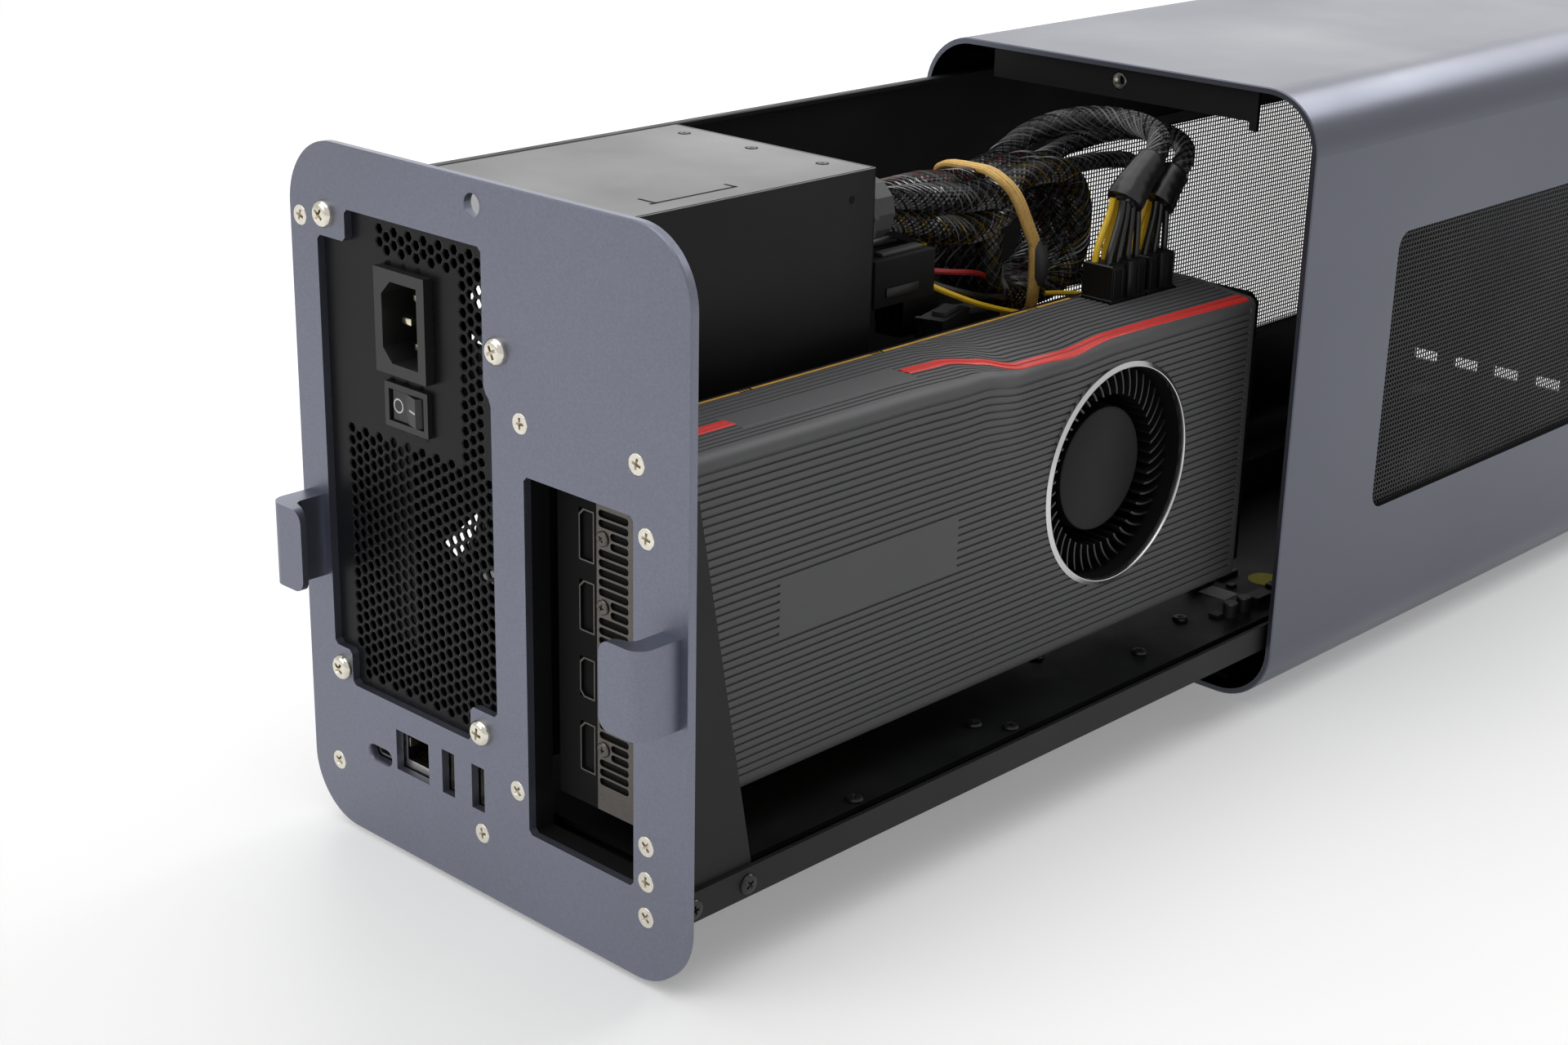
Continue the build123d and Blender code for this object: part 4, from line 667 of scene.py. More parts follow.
def spare_plugs():
    """Spare plugs with their mouths and latches under the grommet, and smaller ones that lie loose."""
    plugs = Build()
    for low, high in islands("spare_plugs"):
        plugs.box(low, high, look.deep_black, 0.5)
        for k in range(3):
            z = low.z + 2.2 + k * 4.2
            plugs.box((low.x + 1.2, high.y - 0.2, z), (high.x - 1.2, high.y + 0.05, z + 2.6), look.deep_black)
        plugs.box((low.x + 2.5, low.y + 6, high.z - 0.1), (high.x - 2.5, high.y - 3, high.z + 1.2),
                  look.grommet_rubber, 0.4)
        plugs.box((high.x - 0.1, low.y + 5, low.z + 3), (high.x + 0.6, high.y - 8, low.z + 6),
                  look.socket_plastic, 0.2)
    plugs.done("spare_plug_bodies", "drawer", "socket_plastic", ["spare_plugs"])

    loose = Build()
    for place, (w, d, h), turn in (
        (row(83, 179, 90), (9, 22, 8), 0.30), (row(76, 196, 85.5), (11, 24, 9), -0.25),
        (row(87, 205, 82.5), (7, 18, 7), 0.45), (row(69, 178, 90), (10, 20, 12), 0.1),
    ):
        spin = Matrix.Rotation(turn, 3, "Z")
        half, end = w / 2, -d / 2
        blocks = [((-half, end, 0), (half, d / 2, h), look.socket_plastic),
                  ((-half - 0.4, end, h * 0.3), (half + 0.4, end + 2.0, h + 0.5), look.socket_plastic),
                  ((-w / 4, -d / 6, h), (w / 4, d / 3, h + 1.1), look.grommet_rubber)]
        for x in (-w / 3.2, 0.0, w / 3.2):
            mouth = ((x - 0.9, end - 0.05, h * 0.3), (x + 0.9, end + 0.3, h * 0.75), look.deep_black)
            blocks.append(mouth)
        for (xa, ya, za), (xb, yb, zb), material in blocks:
            corners = ((xa, ya), (xb, ya), (xb, yb), (xa, yb))
            loose.slab([place + spin @ Vector((x, y, za)) for x, y in corners], (0, 0, zb - za), material)
    loose.done("loose_plug_bodies", "drawer", "socket_plastic")


def plug_housings():
    """Ribs, wire holes, latch and lip of the two plugs in the card."""
    build = Build()
    black = look.socket_plastic
    for plug, count in (("plug_a", 4), ("plug_b", 3)):
        low, high = node_box(plug)
        pitch = (high.y - low.y - 0.6) / count
        for k in range(count):
            y = low.y + 0.3 + k * pitch
            build.box((high.x - 0.1, y + 0.35, low.z + 1.2), (high.x + 0.4, y + pitch - 0.35, high.z - 1.6),
                      black, 0.15, 1)
            for x in (low.x + 1.0, (low.x + high.x) / 2 + 0.5):
                build.box((x, y + 0.5, high.z - 0.4), (x + 4.6, y + pitch - 0.5, high.z + 0.05),
                          look.deep_black)
        middle = (low.y + high.y) / 2
        build.box((high.x + 0.2, middle - 2.2, low.z + 2.0), (high.x + 1.5, middle + 2.2, high.z + 0.8),
                  black, 0.3)
        build.box((low.x - 0.3, low.y - 0.3, low.z + 0.2), (high.x + 0.5, high.y + 0.3, low.z + 1.8),
                  black, 0.2, 1)
    build.done("lead_plug_housings", "drawer", "socket_plastic")


bundle()
hank()
loose_wires()
spare_plugs()
plug_housings()


# Window mesh: fine woven wires behind each window
def woven_window(side, name):
    build = Build()
    x, black = side * 79.6, look.mesh_black
    y0, y1, z0, z1 = 22.25, 268.25, 55.0, 164.2
    pitch, wire, rim, rim_half = 1.7, 0.2, 4, 0.35
    for i in range(int((y1 - y0) / pitch) + 1):
        y = y0 + i * pitch
        build.box((x - wire, y - wire, z0), (x + wire, y + wire, z1), black)
    for i in range(int((z1 - z0) / pitch) + 1):
        z = z0 + i * pitch
        build.box((x - wire, y0, z - wire), (x + wire, y1, z + wire), black)
    for ya, za, yb, zb in ((y0, z0, y1, z0 + rim), (y0, z1 - rim, y1, z1),
                           (y0, z0, y0 + rim, z1), (y1 - rim, z0, y1, z1)):
        build.box((x - rim_half, ya, za), (x + rim_half, yb, zb), black)
    build.done(name + "_weave", "shell", "mesh_black", [name])


woven_window(-1, "window_mesh_left")
woven_window(1, "window_mesh_right")


# Screws
def cross_screw(build, centre, axis, profile, recess, material):
    """A turned head with a cross recess of a reach, a half width and a depth, at a drawn turn."""
    reach, width, depth = recess
    taper, sides = 0.62, 24
    turn = dice.uniform(0, 1.5)
    centre, axis = Vector(centre), Vector(axis).normalized()
    ring = build.lathe(centre, axis, profile, sides, material)[-1]
    top = profile[-1][1]
    across = axis.orthogonal().normalized()
    third = axis.cross(across)
    corners = []
    for q in range(4):
        a = turn + q * math.pi / 2
        out = across * math.cos(a) + third * math.sin(a)
        left = third * math.cos(a) - across * math.sin(a)
        corners += [out * reach - left * width, out * reach + left * width, (out + left) * width]
    rim = build.verts(centre + axis * top + c for c in corners)
    low = build.verts(centre + axis * (top - depth) + c * taper for c in corners)
    with build.tinted(material):
        border = [build.mesh.edges.new(pair) for pair in zip(rim, rim[1:] + rim[:1])]
        border += [build.mesh.edges.get(pair) for pair in zip(ring, ring[1:] + ring[:1])]
        bmesh.ops.triangle_fill(build.mesh, use_beauty=True, use_dissolve=False, edges=border)
        build.bridge(rim, low)
        build.mesh.faces.new(low)


def screws():
    tray_side = 78.6
    for node, piece, slot, profile, recess in (
        ("plate_screws", "plate_screw_heads", "screw_flush",
         [(1.5, -2.0), (2.95, -0.6), (3.0, -0.05), (2.85, 0.08), (2.2, 0.12)], (1.7, 0.42, 1.2)),
        ("psu_screws", "supply_screw_heads", "screw_steel",
         [(1.6, -4.5), (1.6, 0.0), (3.95, 0.0), (4.0, 0.5), (3.8, 1.3), (3.3, 1.9), (2.6, 2.3)],
         (2.0, 0.45, 1.6)),
        ("tray_screws", "tray_screw_heads", "screw_black",
         [(2.9, 0.0), (3.0, 0.3), (2.7, 0.75), (2.1, 0.9)], (1.5, 0.35, 0.6)),
    ):
        build = Build()
        for low, high in islands(node):
            centre, axis = (low + high) / 2, REARWARD
            if node == "tray_screws":
                axis = (1 if low.x > 0 else -1, 0, 0)
                centre.x = axis[0] * tray_side
            else:
                centre.y = PLATE_Y
            cross_screw(build, centre, axis, profile, recess, finishes[slot])
        build.done(piece, "drawer", slot, [node])


screws()


# Power supply case with its fine honeycomb rear
def supply_case():
    build = Build()
    pitch, hole, offset = 3.72, 1.64, -1.6
    reach = pitch / math.sqrt(3)
    shared = {}

    def corner(x, z):
        key = (round(x, 3), round(z, 3))
        if key not in shared:
            shared[key] = build.mesh.verts.new((x, PSU_REAR, z))
        return shared[key]

    def holed(x, z):
        u, w = x - PSU_X, z - PSU_Z
        in_field = 8.2 < u < 79 and 5 < w < 83.5
        in_strip = 61 < u < 71 and w < 144
        in_top = 27 < u < 71 and 137 < w < 144
        screw_places, clear = ((6, 144), (6, 6), (80, 120), (70, 6)), 5.5
        near_screw = any(abs(u - a) < clear and abs(w - b) < clear for a, b in screw_places)
        return (in_field or in_strip or in_top) and not near_screw

    hexagon = unit_circle(6)
    step = 1.5 * reach
    for i in range(int((PSU_RIGHT - PSU_X) / step) + 3):
        for j in range(int((PSU_TOP - PSU_Z) / pitch) + 2):
            x = PSU_X + offset + i * step
            z = PSU_Z + (j + (i % 2) / 2) * pitch
            outer = [corner(x + reach * c, z + reach * s) for c, s in hexagon]
            if holed(x, z):
                build.bridge(outer, build.verts((x + hole * c, PSU_REAR, z + hole * s) for c, s in hexagon))
            else:
                build.mesh.faces.new(outer)

    def cut(point, normal, clear):
        geom = build.mesh.verts[:] + build.mesh.edges[:] + build.mesh.faces[:]
        bmesh.ops.bisect_plane(build.mesh, geom=geom, dist=1e-4, plane_co=point, plane_no=normal,
                               clear_outer=clear)

    cut((PSU_X, 0, 0), (-1, 0, 0), True)
    cut((PSU_RIGHT, 0, 0), (1, 0, 0), True)
    cut((0, 0, PSU_Z), (0, 0, -1), True)
    cut((0, 0, PSU_TOP), (0, 0, 1), True)
    for cx, cz, w, h in ((-32.4, 165.9, 9.6, 13.6), (-32.4, 141.4, 8.8, 5.8)):
        for x in (cx - w, cx + w):
            cut((x, 0, 0), RIGHTWARD, False)
        for z in (cz - h, cz + h):
            cut((0, 0, z), UPWARD, False)
        middles = ((f, f.calc_center_median()) for f in build.mesh.faces)
        gone = [f for f, m in middles if abs(m.x - cx) < w and abs(m.z - cz) < h]
        bmesh.ops.delete(build.mesh, geom=gone, context="FACES")
    build.tint(build.mesh.faces, look.psu_black)
    grille = build.done("supply_grille", "drawer", "psu_black", ["psu_base"])
    sheet = grille.modifiers.new("sheet", "SOLIDIFY")
    sheet.thickness = 0.001
    sheet.offset = -1.0

    walls = Build()
    bend, wall = 1.6, 1.0
    plan = []
    for start, y in ((-4, PSU_REAR + bend), (0, PSU_FAR - bend)):
        for k in range(start, start + 5):
            a = k * math.pi / 8
            plan.append((PSU_RIGHT - bend + bend * math.cos(a), y + bend * math.sin(a)))
    plan.append((PSU_X, PSU_FAR))
    inner = [(min(x, PSU_RIGHT - wall), max(PSU_REAR + wall, min(y, PSU_FAR - wall))) for x, y in plan]
    outline = [Vector((x, y, PSU_Z)) for x, y in plan + inner[::-1]]
    walls.slab(outline, (0, 0, PSU_TOP - PSU_Z), look.psu_black)
    walls.done("supply_walls", "drawer", "psu_black")


supply_case()

# Card shroud with fine ribs, bare patches and a dent in the upper front edge
FACE_X, FRONT_X, CARD_Y, CARD_LEN, LOW_Z, TOP_Z = 26.4, 61.6, -295.85, 270.0, 43.4, 144.4
FAN = Vector((FRONT_X, -96.85, 97.4))
DENT_START, DENT_WIDTH, DENT_HEIGHT = FACE_X + 8, 27.0, 46.0
# Along the card from the plate: how far the edge sinks and moves in, and how far the ribs swing out
DROP = [(20, -0.6), (104, -0.2), (140, 0.7), (163, 4.4), (184, 3.4), (208, 2.0), (288, 2.2)]
PINCH = [(126, 0.0), (144, 0.7), (163, 3.4), (186, 1.4), (212, 0.3), (288, 0.0)]
FLOW = [(124, 0.0), (138, 0.8), (152, 6.0), (165, 13.6), (184, 14.6), (206, 13.4), (288, 14.6)]


def between(knots, value):
    """An eased value between (place, value) knots."""
    if value <= knots[0][0]:
        return knots[0][1]
    for (a, p), (b, q) in zip(knots, knots[1:]):
        if value <= b:
            return p + (q - p) * ease((value - a) / (b - a))
    return knots[-1][1]


def dented(x, y, z):
    """A point of the card's shroud after the dent."""
    along = y - PLATE_Y
    share = min(ease((x - DENT_START) / DENT_WIDTH), ease((z - TOP_Z) / DENT_HEIGHT + 1))
    return Vector((x - between(PINCH, along) * share, y, z - between(DROP, along) * share))


def shroud():
    """The ribbed housing with its fan throat and power notch, and the board's edge beside it."""
    build = Build()
    pitch, deep, corner, margin, throat = 2.4, 0.55, 3.0, 3.2, 35.4
    rib = ((0.0, 0), (1.55, 0), (1.72, 1), (2.23, 1))
    lower = [(FACE_X, LOW_Z, 0), (FRONT_X - corner, LOW_Z, 0)]
    for k in range(1, 4):
        a = -math.pi / 2 + k * math.pi / 8
        lower.append((FRONT_X - corner + corner * math.cos(a), LOW_Z + corner + corner * math.sin(a), 0))
    z = LOW_Z + margin
    while z + pitch < TOP_Z - margin:
        lower += [(FRONT_X, z + step, groove) for step, groove in rib]
        z += pitch
    lower.append((FRONT_X, TOP_Z - corner, 0))
    for k in range(1, 5):
        a = k * math.pi / 10
        lower.append((FRONT_X - corner + corner * math.cos(a), TOP_Z - corner + corner * math.sin(a), 0))
    flat_x = FRONT_X - 3.1
    upper = []
    x = flat_x
    while x > FACE_X - 17:
        upper += [(x - step, groove) for step, groove in rib]
        x -= pitch
    ends = (CARD_Y + 2.2, CARD_Y + CARD_LEN - 2.2)
    front_patch, top_patch = (54.5, 130.5), (51.5, 123.5)
    notch, notch_x = (CARD_Y + 220.0, CARD_Y + 256.0), FACE_X + 13
    stations = {CARD_Y + i * 1.5 for i in range(181)} | set(notch)
    for edge in (*ends, *(PLATE_Y + along for along in front_patch + top_patch)):
        stations |= {edge - 0.1, edge + 0.1}

    def groove_depth(x, y, z):
        along = y - PLATE_Y
        bare_end = not ends[0] <= y <= ends[1]
        bare_front = front_patch[0] < along < front_patch[1] and 39.0 < z - PSU_Z < 55.0
        bare_top = top_patch[0] < along < top_patch[1] and z > TOP_Z - 1 and 110.0 < x - PSU_X < 120.6
        return 0.0 if bare_end or bare_front or bare_top else deep

    rows = []
    for y in sorted(stations):
        line = []
        for x, z, groove in lower:
            point = dented(x, y, z)
            point.x -= groove * groove_depth(x, y, z)
            line.append(point)
        shift = between(FLOW, y - PLATE_Y)
        for u, groove in upper:
            x = max(FACE_X, min(flat_x, u + shift))
            point = dented(x, y, TOP_Z)
            if FACE_X + 0.6 < u + shift < flat_x:
                point.z -= groove * groove_depth(x, y, TOP_Z)
            line.append(point)
        rows.append(build.verts([*line, dented(FACE_X, y, TOP_Z)]))
    for one, two in zip(rows, rows[1:]):
        for k in range(len(one) - 1):
            middle = (one[k].co + two[k + 1].co) / 2
            if middle.x > FRONT_X - 6 and math.hypot(middle.y - FAN.y, middle.z - FAN.z) < throat:
                continue
            if middle.z > TOP_Z - 4 and middle.x < notch_x and notch[0] < middle.y < notch[1]:
                continue
            build.mesh.faces.new((one[k], one[k + 1], two[k + 1], two[k]))
    build.mesh.faces.new(rows[0])
    build.mesh.faces.new(rows[-1])
    bmesh.ops.remove_doubles(build.mesh, verts=build.mesh.verts, dist=1e-4)
    bmesh.ops.dissolve_degenerate(build.mesh, edges=build.mesh.edges, dist=1e-4)
    build.tint(build.mesh.faces, look.shroud_silver)
    build.tint([f for f in build.mesh.faces if f.calc_center_median().y < CARD_Y + 0.02], look.deep_black)
    for x, z in ((FACE_X + 0.2, TOP_Z - 11), (notch_x - 0.4, TOP_Z - 1)):
        build.box((x, notch[0], TOP_Z - 12), (notch_x, notch[1], z), look.deep_black)
    build.done("card_shroud_ribs", "drawer", "shroud_silver", ["card_shroud"], angle=28)

    edge = Build()
    runs = [(12, 74), (79, 130), (135, 204), (209, 226)]
    runs += [(gap + 0.7 + k * 1.3, gap + 1.2 + k * 1.3) for gap in (74, 130, 204) for k in range(3)]
    for start, stop in runs:
        edge.box((FACE_X - 1.4, PLATE_Y + start, TOP_Z - 0.4), (FACE_X - 0.25, PLATE_Y + stop, TOP_Z + 0.16),
                 look.card_board_tan)
    edge.box((FACE_X - 1.62, CARD_Y + 0.5, TOP_Z - 0.5), (FACE_X + 0.02, CARD_Y + 222, TOP_Z + 0.05),
             look.chip_black)
    edge.done("card_board_edge", "drawer", "card_board_tan")


def stripe():
    """Two runs of the red stripe, which follow the ribs of the shroud's top."""
    build = Build()
    section = [(-2.5, -0.8), (-2.35, 0.15), (-2.1, 0.3), (-0.5, 0.3), (-0.25, -0.15), (0.25, -0.15),
               (0.5, 0.3), (2.1, 0.3), (2.35, 0.15), (2.5, -0.8)]
    start_x, limit_x = 115.1, 129.7

    def ribbon(knots, y0, y1):
        lines = []
        steps = max(2, int((y1 - y0) / 1.5))
        for i in range(steps + 1):
            along = y0 + (y1 - y0) * i / steps
            slope = between(knots, along + 0.5) - between(knots, along - 0.5)
            across = Vector((1, -slope, 0)).normalized()
            line = []
            for w, h in section:
                spot = Vector((between(knots, along) + PSU_X, along + PLATE_Y, TOP_Z)) + across * w
                spot.x = min(spot.x, FRONT_X - 0.6)
                spot = dented(spot.x, spot.y, TOP_Z + min(0.0, (FRONT_X - 2.4 - spot.x) * 0.35))
                line.append(spot + Vector((0, 0, h)))
            lines.append(build.verts(line))
        for one, two in zip(lines, lines[1:]):
            build.bridge(one, two, closed=False)
        build.mesh.faces.new(lines[0])
        build.mesh.faces.new(lines[-1])

    ribbon([(36, start_x), (52, start_x)], 36, 52)
    ribbon([(along, min(limit_x, start_x + shift)) for along, shift in FLOW], 124, 277)
    build.tint(build.mesh.faces, look.stripe_red)
    build.done("accent_stripe_ribs", "drawer", "stripe_red", ["accent_stripe"], angle=30)


def card_fan():
    """Bright lip, dark throat and a many-bladed wheel."""
    ring = Build()
    ring.lathe(FAN, RIGHTWARD, [(36.6, -1.0), (36.6, 0.0), (35.2, 0.7), (34.95, 0.6), (34.75, 0.2),
                                (34.7, -0.6), (34.7, -1.6)], 96, look.ring_chrome)
    ring.lathe(FAN, RIGHTWARD, [(34.72, -1.2), (34.6, -2.0), (34.6, -26.0)], 96, look.deep_black)
    ring.done("fan_ring_lip", "drawer", "ring_chrome", ["fan_ring"])
    wheel = Build()
    black = look.fan_plastic
    hub = Vector((FRONT_X - 7.0, FAN.y, FAN.z))
    for profile, material in (
        ([(20.5, -21.0), (20.5, -1.0), (20.2, -0.35), (19.5, 0.0), (0, 0.0)], look.card_black),
        ([(20.0, -21.0), (33.6, -21.0), (33.6, -19.8), (20.0, -19.8)], black),
        ([(32.6, -12.4), (33.6, -12.4), (33.6, -11.4), (32.6, -11.4), (32.6, -12.4)], black),
    ):
        wheel.lathe(hub, RIGHTWARD, profile, 72, material)
    blades, root_r, blade_len, sweep, half = 45, 24.8, 8.5, 0.16, 0.36
    back, width, steps = -20.0, 21.4, 4
    for k in range(blades):
        base = 2 * math.pi * k / blades
        sides = []
        for side in (half, -half):
            for i in range(steps + 1):
                r = root_r + blade_len * i / steps
                turn = base + sweep * (i / steps) ** 1.3 + side / r
                sides.append(hub + Vector((back, r * math.cos(turn), r * math.sin(turn))))
        wheel.slab(sides[:steps + 1] + sides[:steps:-1], (width, 0, 0), black)
    wheel.done("fan_wheel_blades", "card_fan", "fan_plastic", ["fan_wheel"])


shroud()
stripe()
card_fan()


# Sockets and the slot bracket, whose outlines lie in the plane of the rear plate
def rounded(x, z, width, height, radius, steps=4):
    points = []
    for cx, cz, start in ((1, 1, 0), (-1, 1, 90), (-1, -1, 180), (1, -1, 270)):
        for k in range(steps + 1):
            a = math.radians(start + 90 * k / steps)
            points.append((x + cx * (width / 2 - radius) + radius * math.cos(a),
                           z + cz * (height / 2 - radius) + radius * math.sin(a)))
    return points


def hollow(build, outer, inner, y0, y1, material, lining, wall=None):
    """A tube between two outlines from y0 to y1, closed at the far end by its lining."""
    front_out, front_in, back_out, back_in = (
        build.verts((x, y, z) for x, z in outline)
        for outline, y in ((outer, y0), (inner, y0), (outer, y1), (inner, y1 - 0.5)))
    with build.tinted(material):
        build.bridge(front_out, front_in)
        build.bridge(back_out, front_out)
        build.mesh.faces.new(back_out)
    with build.tinted(wall or material):
        build.bridge(front_in, back_in)
    with build.tinted(lining):
        build.mesh.faces.new(back_in)


def slot_cell(build, cell, hole, radius, y0, y1, material):
    """A flat rectangle with a round-ended hole, from y0 to y1."""
    x0, x1, z0, z1 = cell
    left, right, low, high = hole
    outer, inner = [], []
    for mx, mz, start in ((right - radius, high - radius, 0), (left + radius, high - radius, 90),
                          (left + radius, low + radius, 180), (right - radius, low + radius, 270)):
        for k in range(3):
            a = math.radians(start + 45 * k)
            c, s = math.cos(a), math.sin(a)
            edge_x = x1 if c > 0.1 else x0 if c < -0.1 else mx
            edge_z = z1 if s > 0.1 else z0 if s < -0.1 else mz
            outer.append((edge_x, edge_z))
            inner.append((mx + radius * c, mz + radius * s))
    rings = [build.verts((x, y, z) for x, z in outline)
             for outline, y in ((outer, y0), (inner, y0), (inner, y1), (outer, y1))]
    with build.tinted(material):
        for one, two in zip(rings, rings[1:] + rings[:1]):
            build.bridge(one, two)


def bracket():
    build = Build()
    steel, dark = look.bracket_steel, look.deep_black
    y0, y1 = -296.75, -295.85
    left, right, bottom, top = 21.6, 59.6, 40.4, 146.9
    fold_x, port_x0, port_x1, vent_x0, vent_x1 = 28.6, 30.2, 36.5, 37.2, 50.4
    vent_z0, vent_z1, pitch, bar = 47.9, 129.5, 2.8, 0.65
    screw_z, screw_room, indent, margin = (59.1, 101.1, 120.7), 2.9, 5.4, 0.8
    lifts_and_heights = ((6.7, 15.0), (29.0, 12.0), (48.5, 15.0), (69.0, 15.0))
    outputs = [(LOW_Z + lift, LOW_Z + lift + h) for lift, h in lifts_and_heights]

    def panel(x0, z0, x1, z1, material):
        build.box((x0, y0, z0), (x1, y1, z1), material)

    panel(left, bottom, fold_x, top, dark)
    low = bottom
    for a, b in outputs:
        panel(fold_x, low, vent_x0, a, dark)
        panel(fold_x, a, port_x0, b, dark)
        panel(port_x1, a, vent_x0, b, dark)
        low = b
    panel(fold_x, low, vent_x0, top, dark)
    panel(vent_x1, bottom, right, top, steel)
    panel(vent_x0, bottom, vent_x1, vent_z0, steel)
    panel(vent_x0, vent_z1, vent_x1, top, steel)
    z = vent_z0
    while z + pitch <= vent_z1 + 0.01:
        beside = any(abs(z + pitch / 2 - s) < screw_room for s in screw_z)
        hole_x = vent_x0 + (indent if beside else margin)
        hole = (hole_x, vent_x1 - 0.7, z + bar / 2, z + pitch - bar / 2)
        slot_cell(build, (vent_x0, vent_x1, z, z + pitch), hole, 0.9, y0, y1, steel)
        z += pitch
    panel(vent_x0, z, vent_x1, vent_z1, steel)
    for s in screw_z:
        cross_screw(build, (vent_x0 + 2.5, y0, s), REARWARD, [(2.1, 0.0), (2.2, 0.4), (1.9, 0.7), (1.3, 0.8)],
                    (1.0, 0.28, 0.5), steel)
    build.done("card_bracket_vents", "drawer", "card_black", ["card_bracket"])

    ports = Build()
    cx, mouth_y, back_y = 33.35, -296.9, -284.0
    for k, (a, b) in enumerate(outputs):
        cz, h, video = (a + b) / 2, b - a, k == 1
        cut = 1.6 if video else 1.8
        outlines = []
        for w2, h2, c in ((3.05, h / 2 - 0.05, cut), (2.6, h / 2 - 0.5, cut - 0.15)):
            small = c if video else 0.3
            outlines.append([(cx - w2 + small, cz - h2), (cx + w2, cz - h2), (cx + w2, cz + h2),
                             (cx - w2 + c, cz + h2), (cx - w2, cz + h2 - c), (cx - w2, cz - h2 + small)])
        hollow(ports, *outlines, mouth_y, back_y, steel, dark, dark)
        ports.box((cx - 0.5, -291.6, a + 2.4), (cx + 0.8, -286.0, b - 2.4), dark)
        for j in range(6):
            z = a + 3.2 + j * (h - 6.4) / 5
            ports.box((cx - 0.75, -291.9, z - 0.28), (cx - 0.35, -287.0, z + 0.28), look.gold_contact)
        for z in (cz - h / 4, cz + h / 4):
            ports.box((cx - 2.59, -295.6, z - 0.5), (cx - 2.1, -293.0, z + 0.5), look.socket_steel)
    ports.done("picture_sockets", "drawer", "socket_steel", ["display_sockets", "video_socket"])


def board_sockets():
    steel, dark, gold = look.socket_steel, look.deep_black, look.gold_contact
    build = Build()
    x, z = -49.3, 29.75
    hollow(build, rounded(x, z, 9.0, 3.3, 1.6), rounded(x, z, 8.1, 2.4, 1.15), SOCKET_Y, -293.7, steel, dark)
    build.box((-52.4, -301.2, 29.4), (-46.2, -294.5, 30.1), look.chip_black)
    build.done("type_c_shell", "drawer", "socket_steel", ["type_c_socket"])

    build = Build()
    rings = [build.verts((px, y, pz) for px, pz in rounded(x, z, width, height, radius, 6))
             for width, height, radius, y in ((11.46, 5.46, 0.05, -303.0), (11.46, 5.46, 0.05, -305.72),
                                              (11.3, 5.3, 2.64, -305.72), (10.5, 4.5, 2.24, -305.0),
                                              (10.5, 4.5, 2.24, -303.0))]
    for one, two in zip(rings, rings[1:] + rings[:1]):
        build.bridge(one, two)
    build.tint(build.mesh.faces, look.plate_aluminium)
    build.done("type_c_recess", "drawer", "plate_aluminium")

    build = Build()
    for x in (-17.2, -3.8):
        outer, inner = rounded(x, 35.0, 5.6, 13.8, 0.5, 2), rounded(x, 35.0, 4.6, 12.8, 0.3, 2)
        hollow(build, outer, inner, SOCKET_Y, -284.7, steel, dark)
        build.box((x - 0.9, -302.3, 30.2), (x + 0.3, -286.0, 39.8), look.tongue_white)
        for k in range(4):
            z = 31.4 + k * 2.2
            build.box((x + 0.25, -301.4, z), (x + 0.5, -290.0, z + 1.0), gold)
        for z in (30.6, 37.6):
            build.box((x + 1.5, -300.5, z), (x + 2.35, -296.0, z + 1.8), steel, 0.3)
    build.done("type_a_shells", "drawer", "socket_steel", ["type_a_sockets"])

    build = Build()
    x, z = -33.7, BOARD_TOP
    outlines = []
    for half in (((8.95, 14.3), (8.95, 12.9), (8.95, 11.7), (8.95, 0.0)),
                 ((2.6, 13.2), (2.6, 11.7), (6.1, 11.7), (6.1, 2.7))):
        outlines.append([(x + w, z + h) for w, h in half] + [(x - w, z + h) for w, h in reversed(half)])
    hollow(build, *outlines, SOCKET_Y, -281.6, steel, dark, look.socket_plastic)
    bends = ((-289.0, 6.4), (-298.0, 4.2), (-300.5, 3.5))
    for k in range(8):
        wire_x = x - 4.45 + k * 1.27
        build.tube([(wire_x, y, z + lift) for y, lift in bends], 0.24, 6, gold)
    for spring_x in (x - 6.05, x + 5.5):
        build.box((spring_x, -302.2, z + 6.6), (spring_x + 0.55, -297.0, z + 9.6), steel, 0.1)
    build.done("network_jack_shell", "drawer", "socket_steel", ["network_jack"])


bracket()
board_sockets()


# Small parts of the switch, the inlet, the supply, the plate, the sleeve and the main board
def switch_marks():
    build = Build()
    axis, tilt = Vector((-32.4, -300.85, 141.4)), math.radians(8)
    mark_x, face_y = 3.7, -3.44
    spin = Matrix.Rotation(-tilt, 4, "Z")

    def on_face(side, points):
        places = []
        for across, up in points:
            x = side * mark_x + across
            places.append(axis + spin @ Vector((x, face_y - abs(x) * math.tan(tilt), up)))
        return build.verts(places)

    with build.tinted(look.mark_white):
        build.bridge(*(on_face(-1, [(c * r, s * r) for c, s in unit_circle(32)]) for r in (2.15, 1.68)))
        build.mesh.faces.new(on_face(1, ((-2.0, -0.28), (2.0, -0.28), (2.0, 0.28), (-2.0, 0.28))))
    build.done("switch_marks", "power_switch", "inlet_plastic", tidy=False)


def inlet_blades():
    build = Build()
    for x, z, y in ((-36.4, 164.9, -302.2), (-32.4, 157.9, -301.3), (-32.4, 171.9, -301.3)):
        build.box((x, y, z), (x + 4.0, -290.3, z + 2.0), look.pin_brass, 0.35)
    build.done("inlet_blades", "drawer", "pin_brass", ["inlet_pins"])


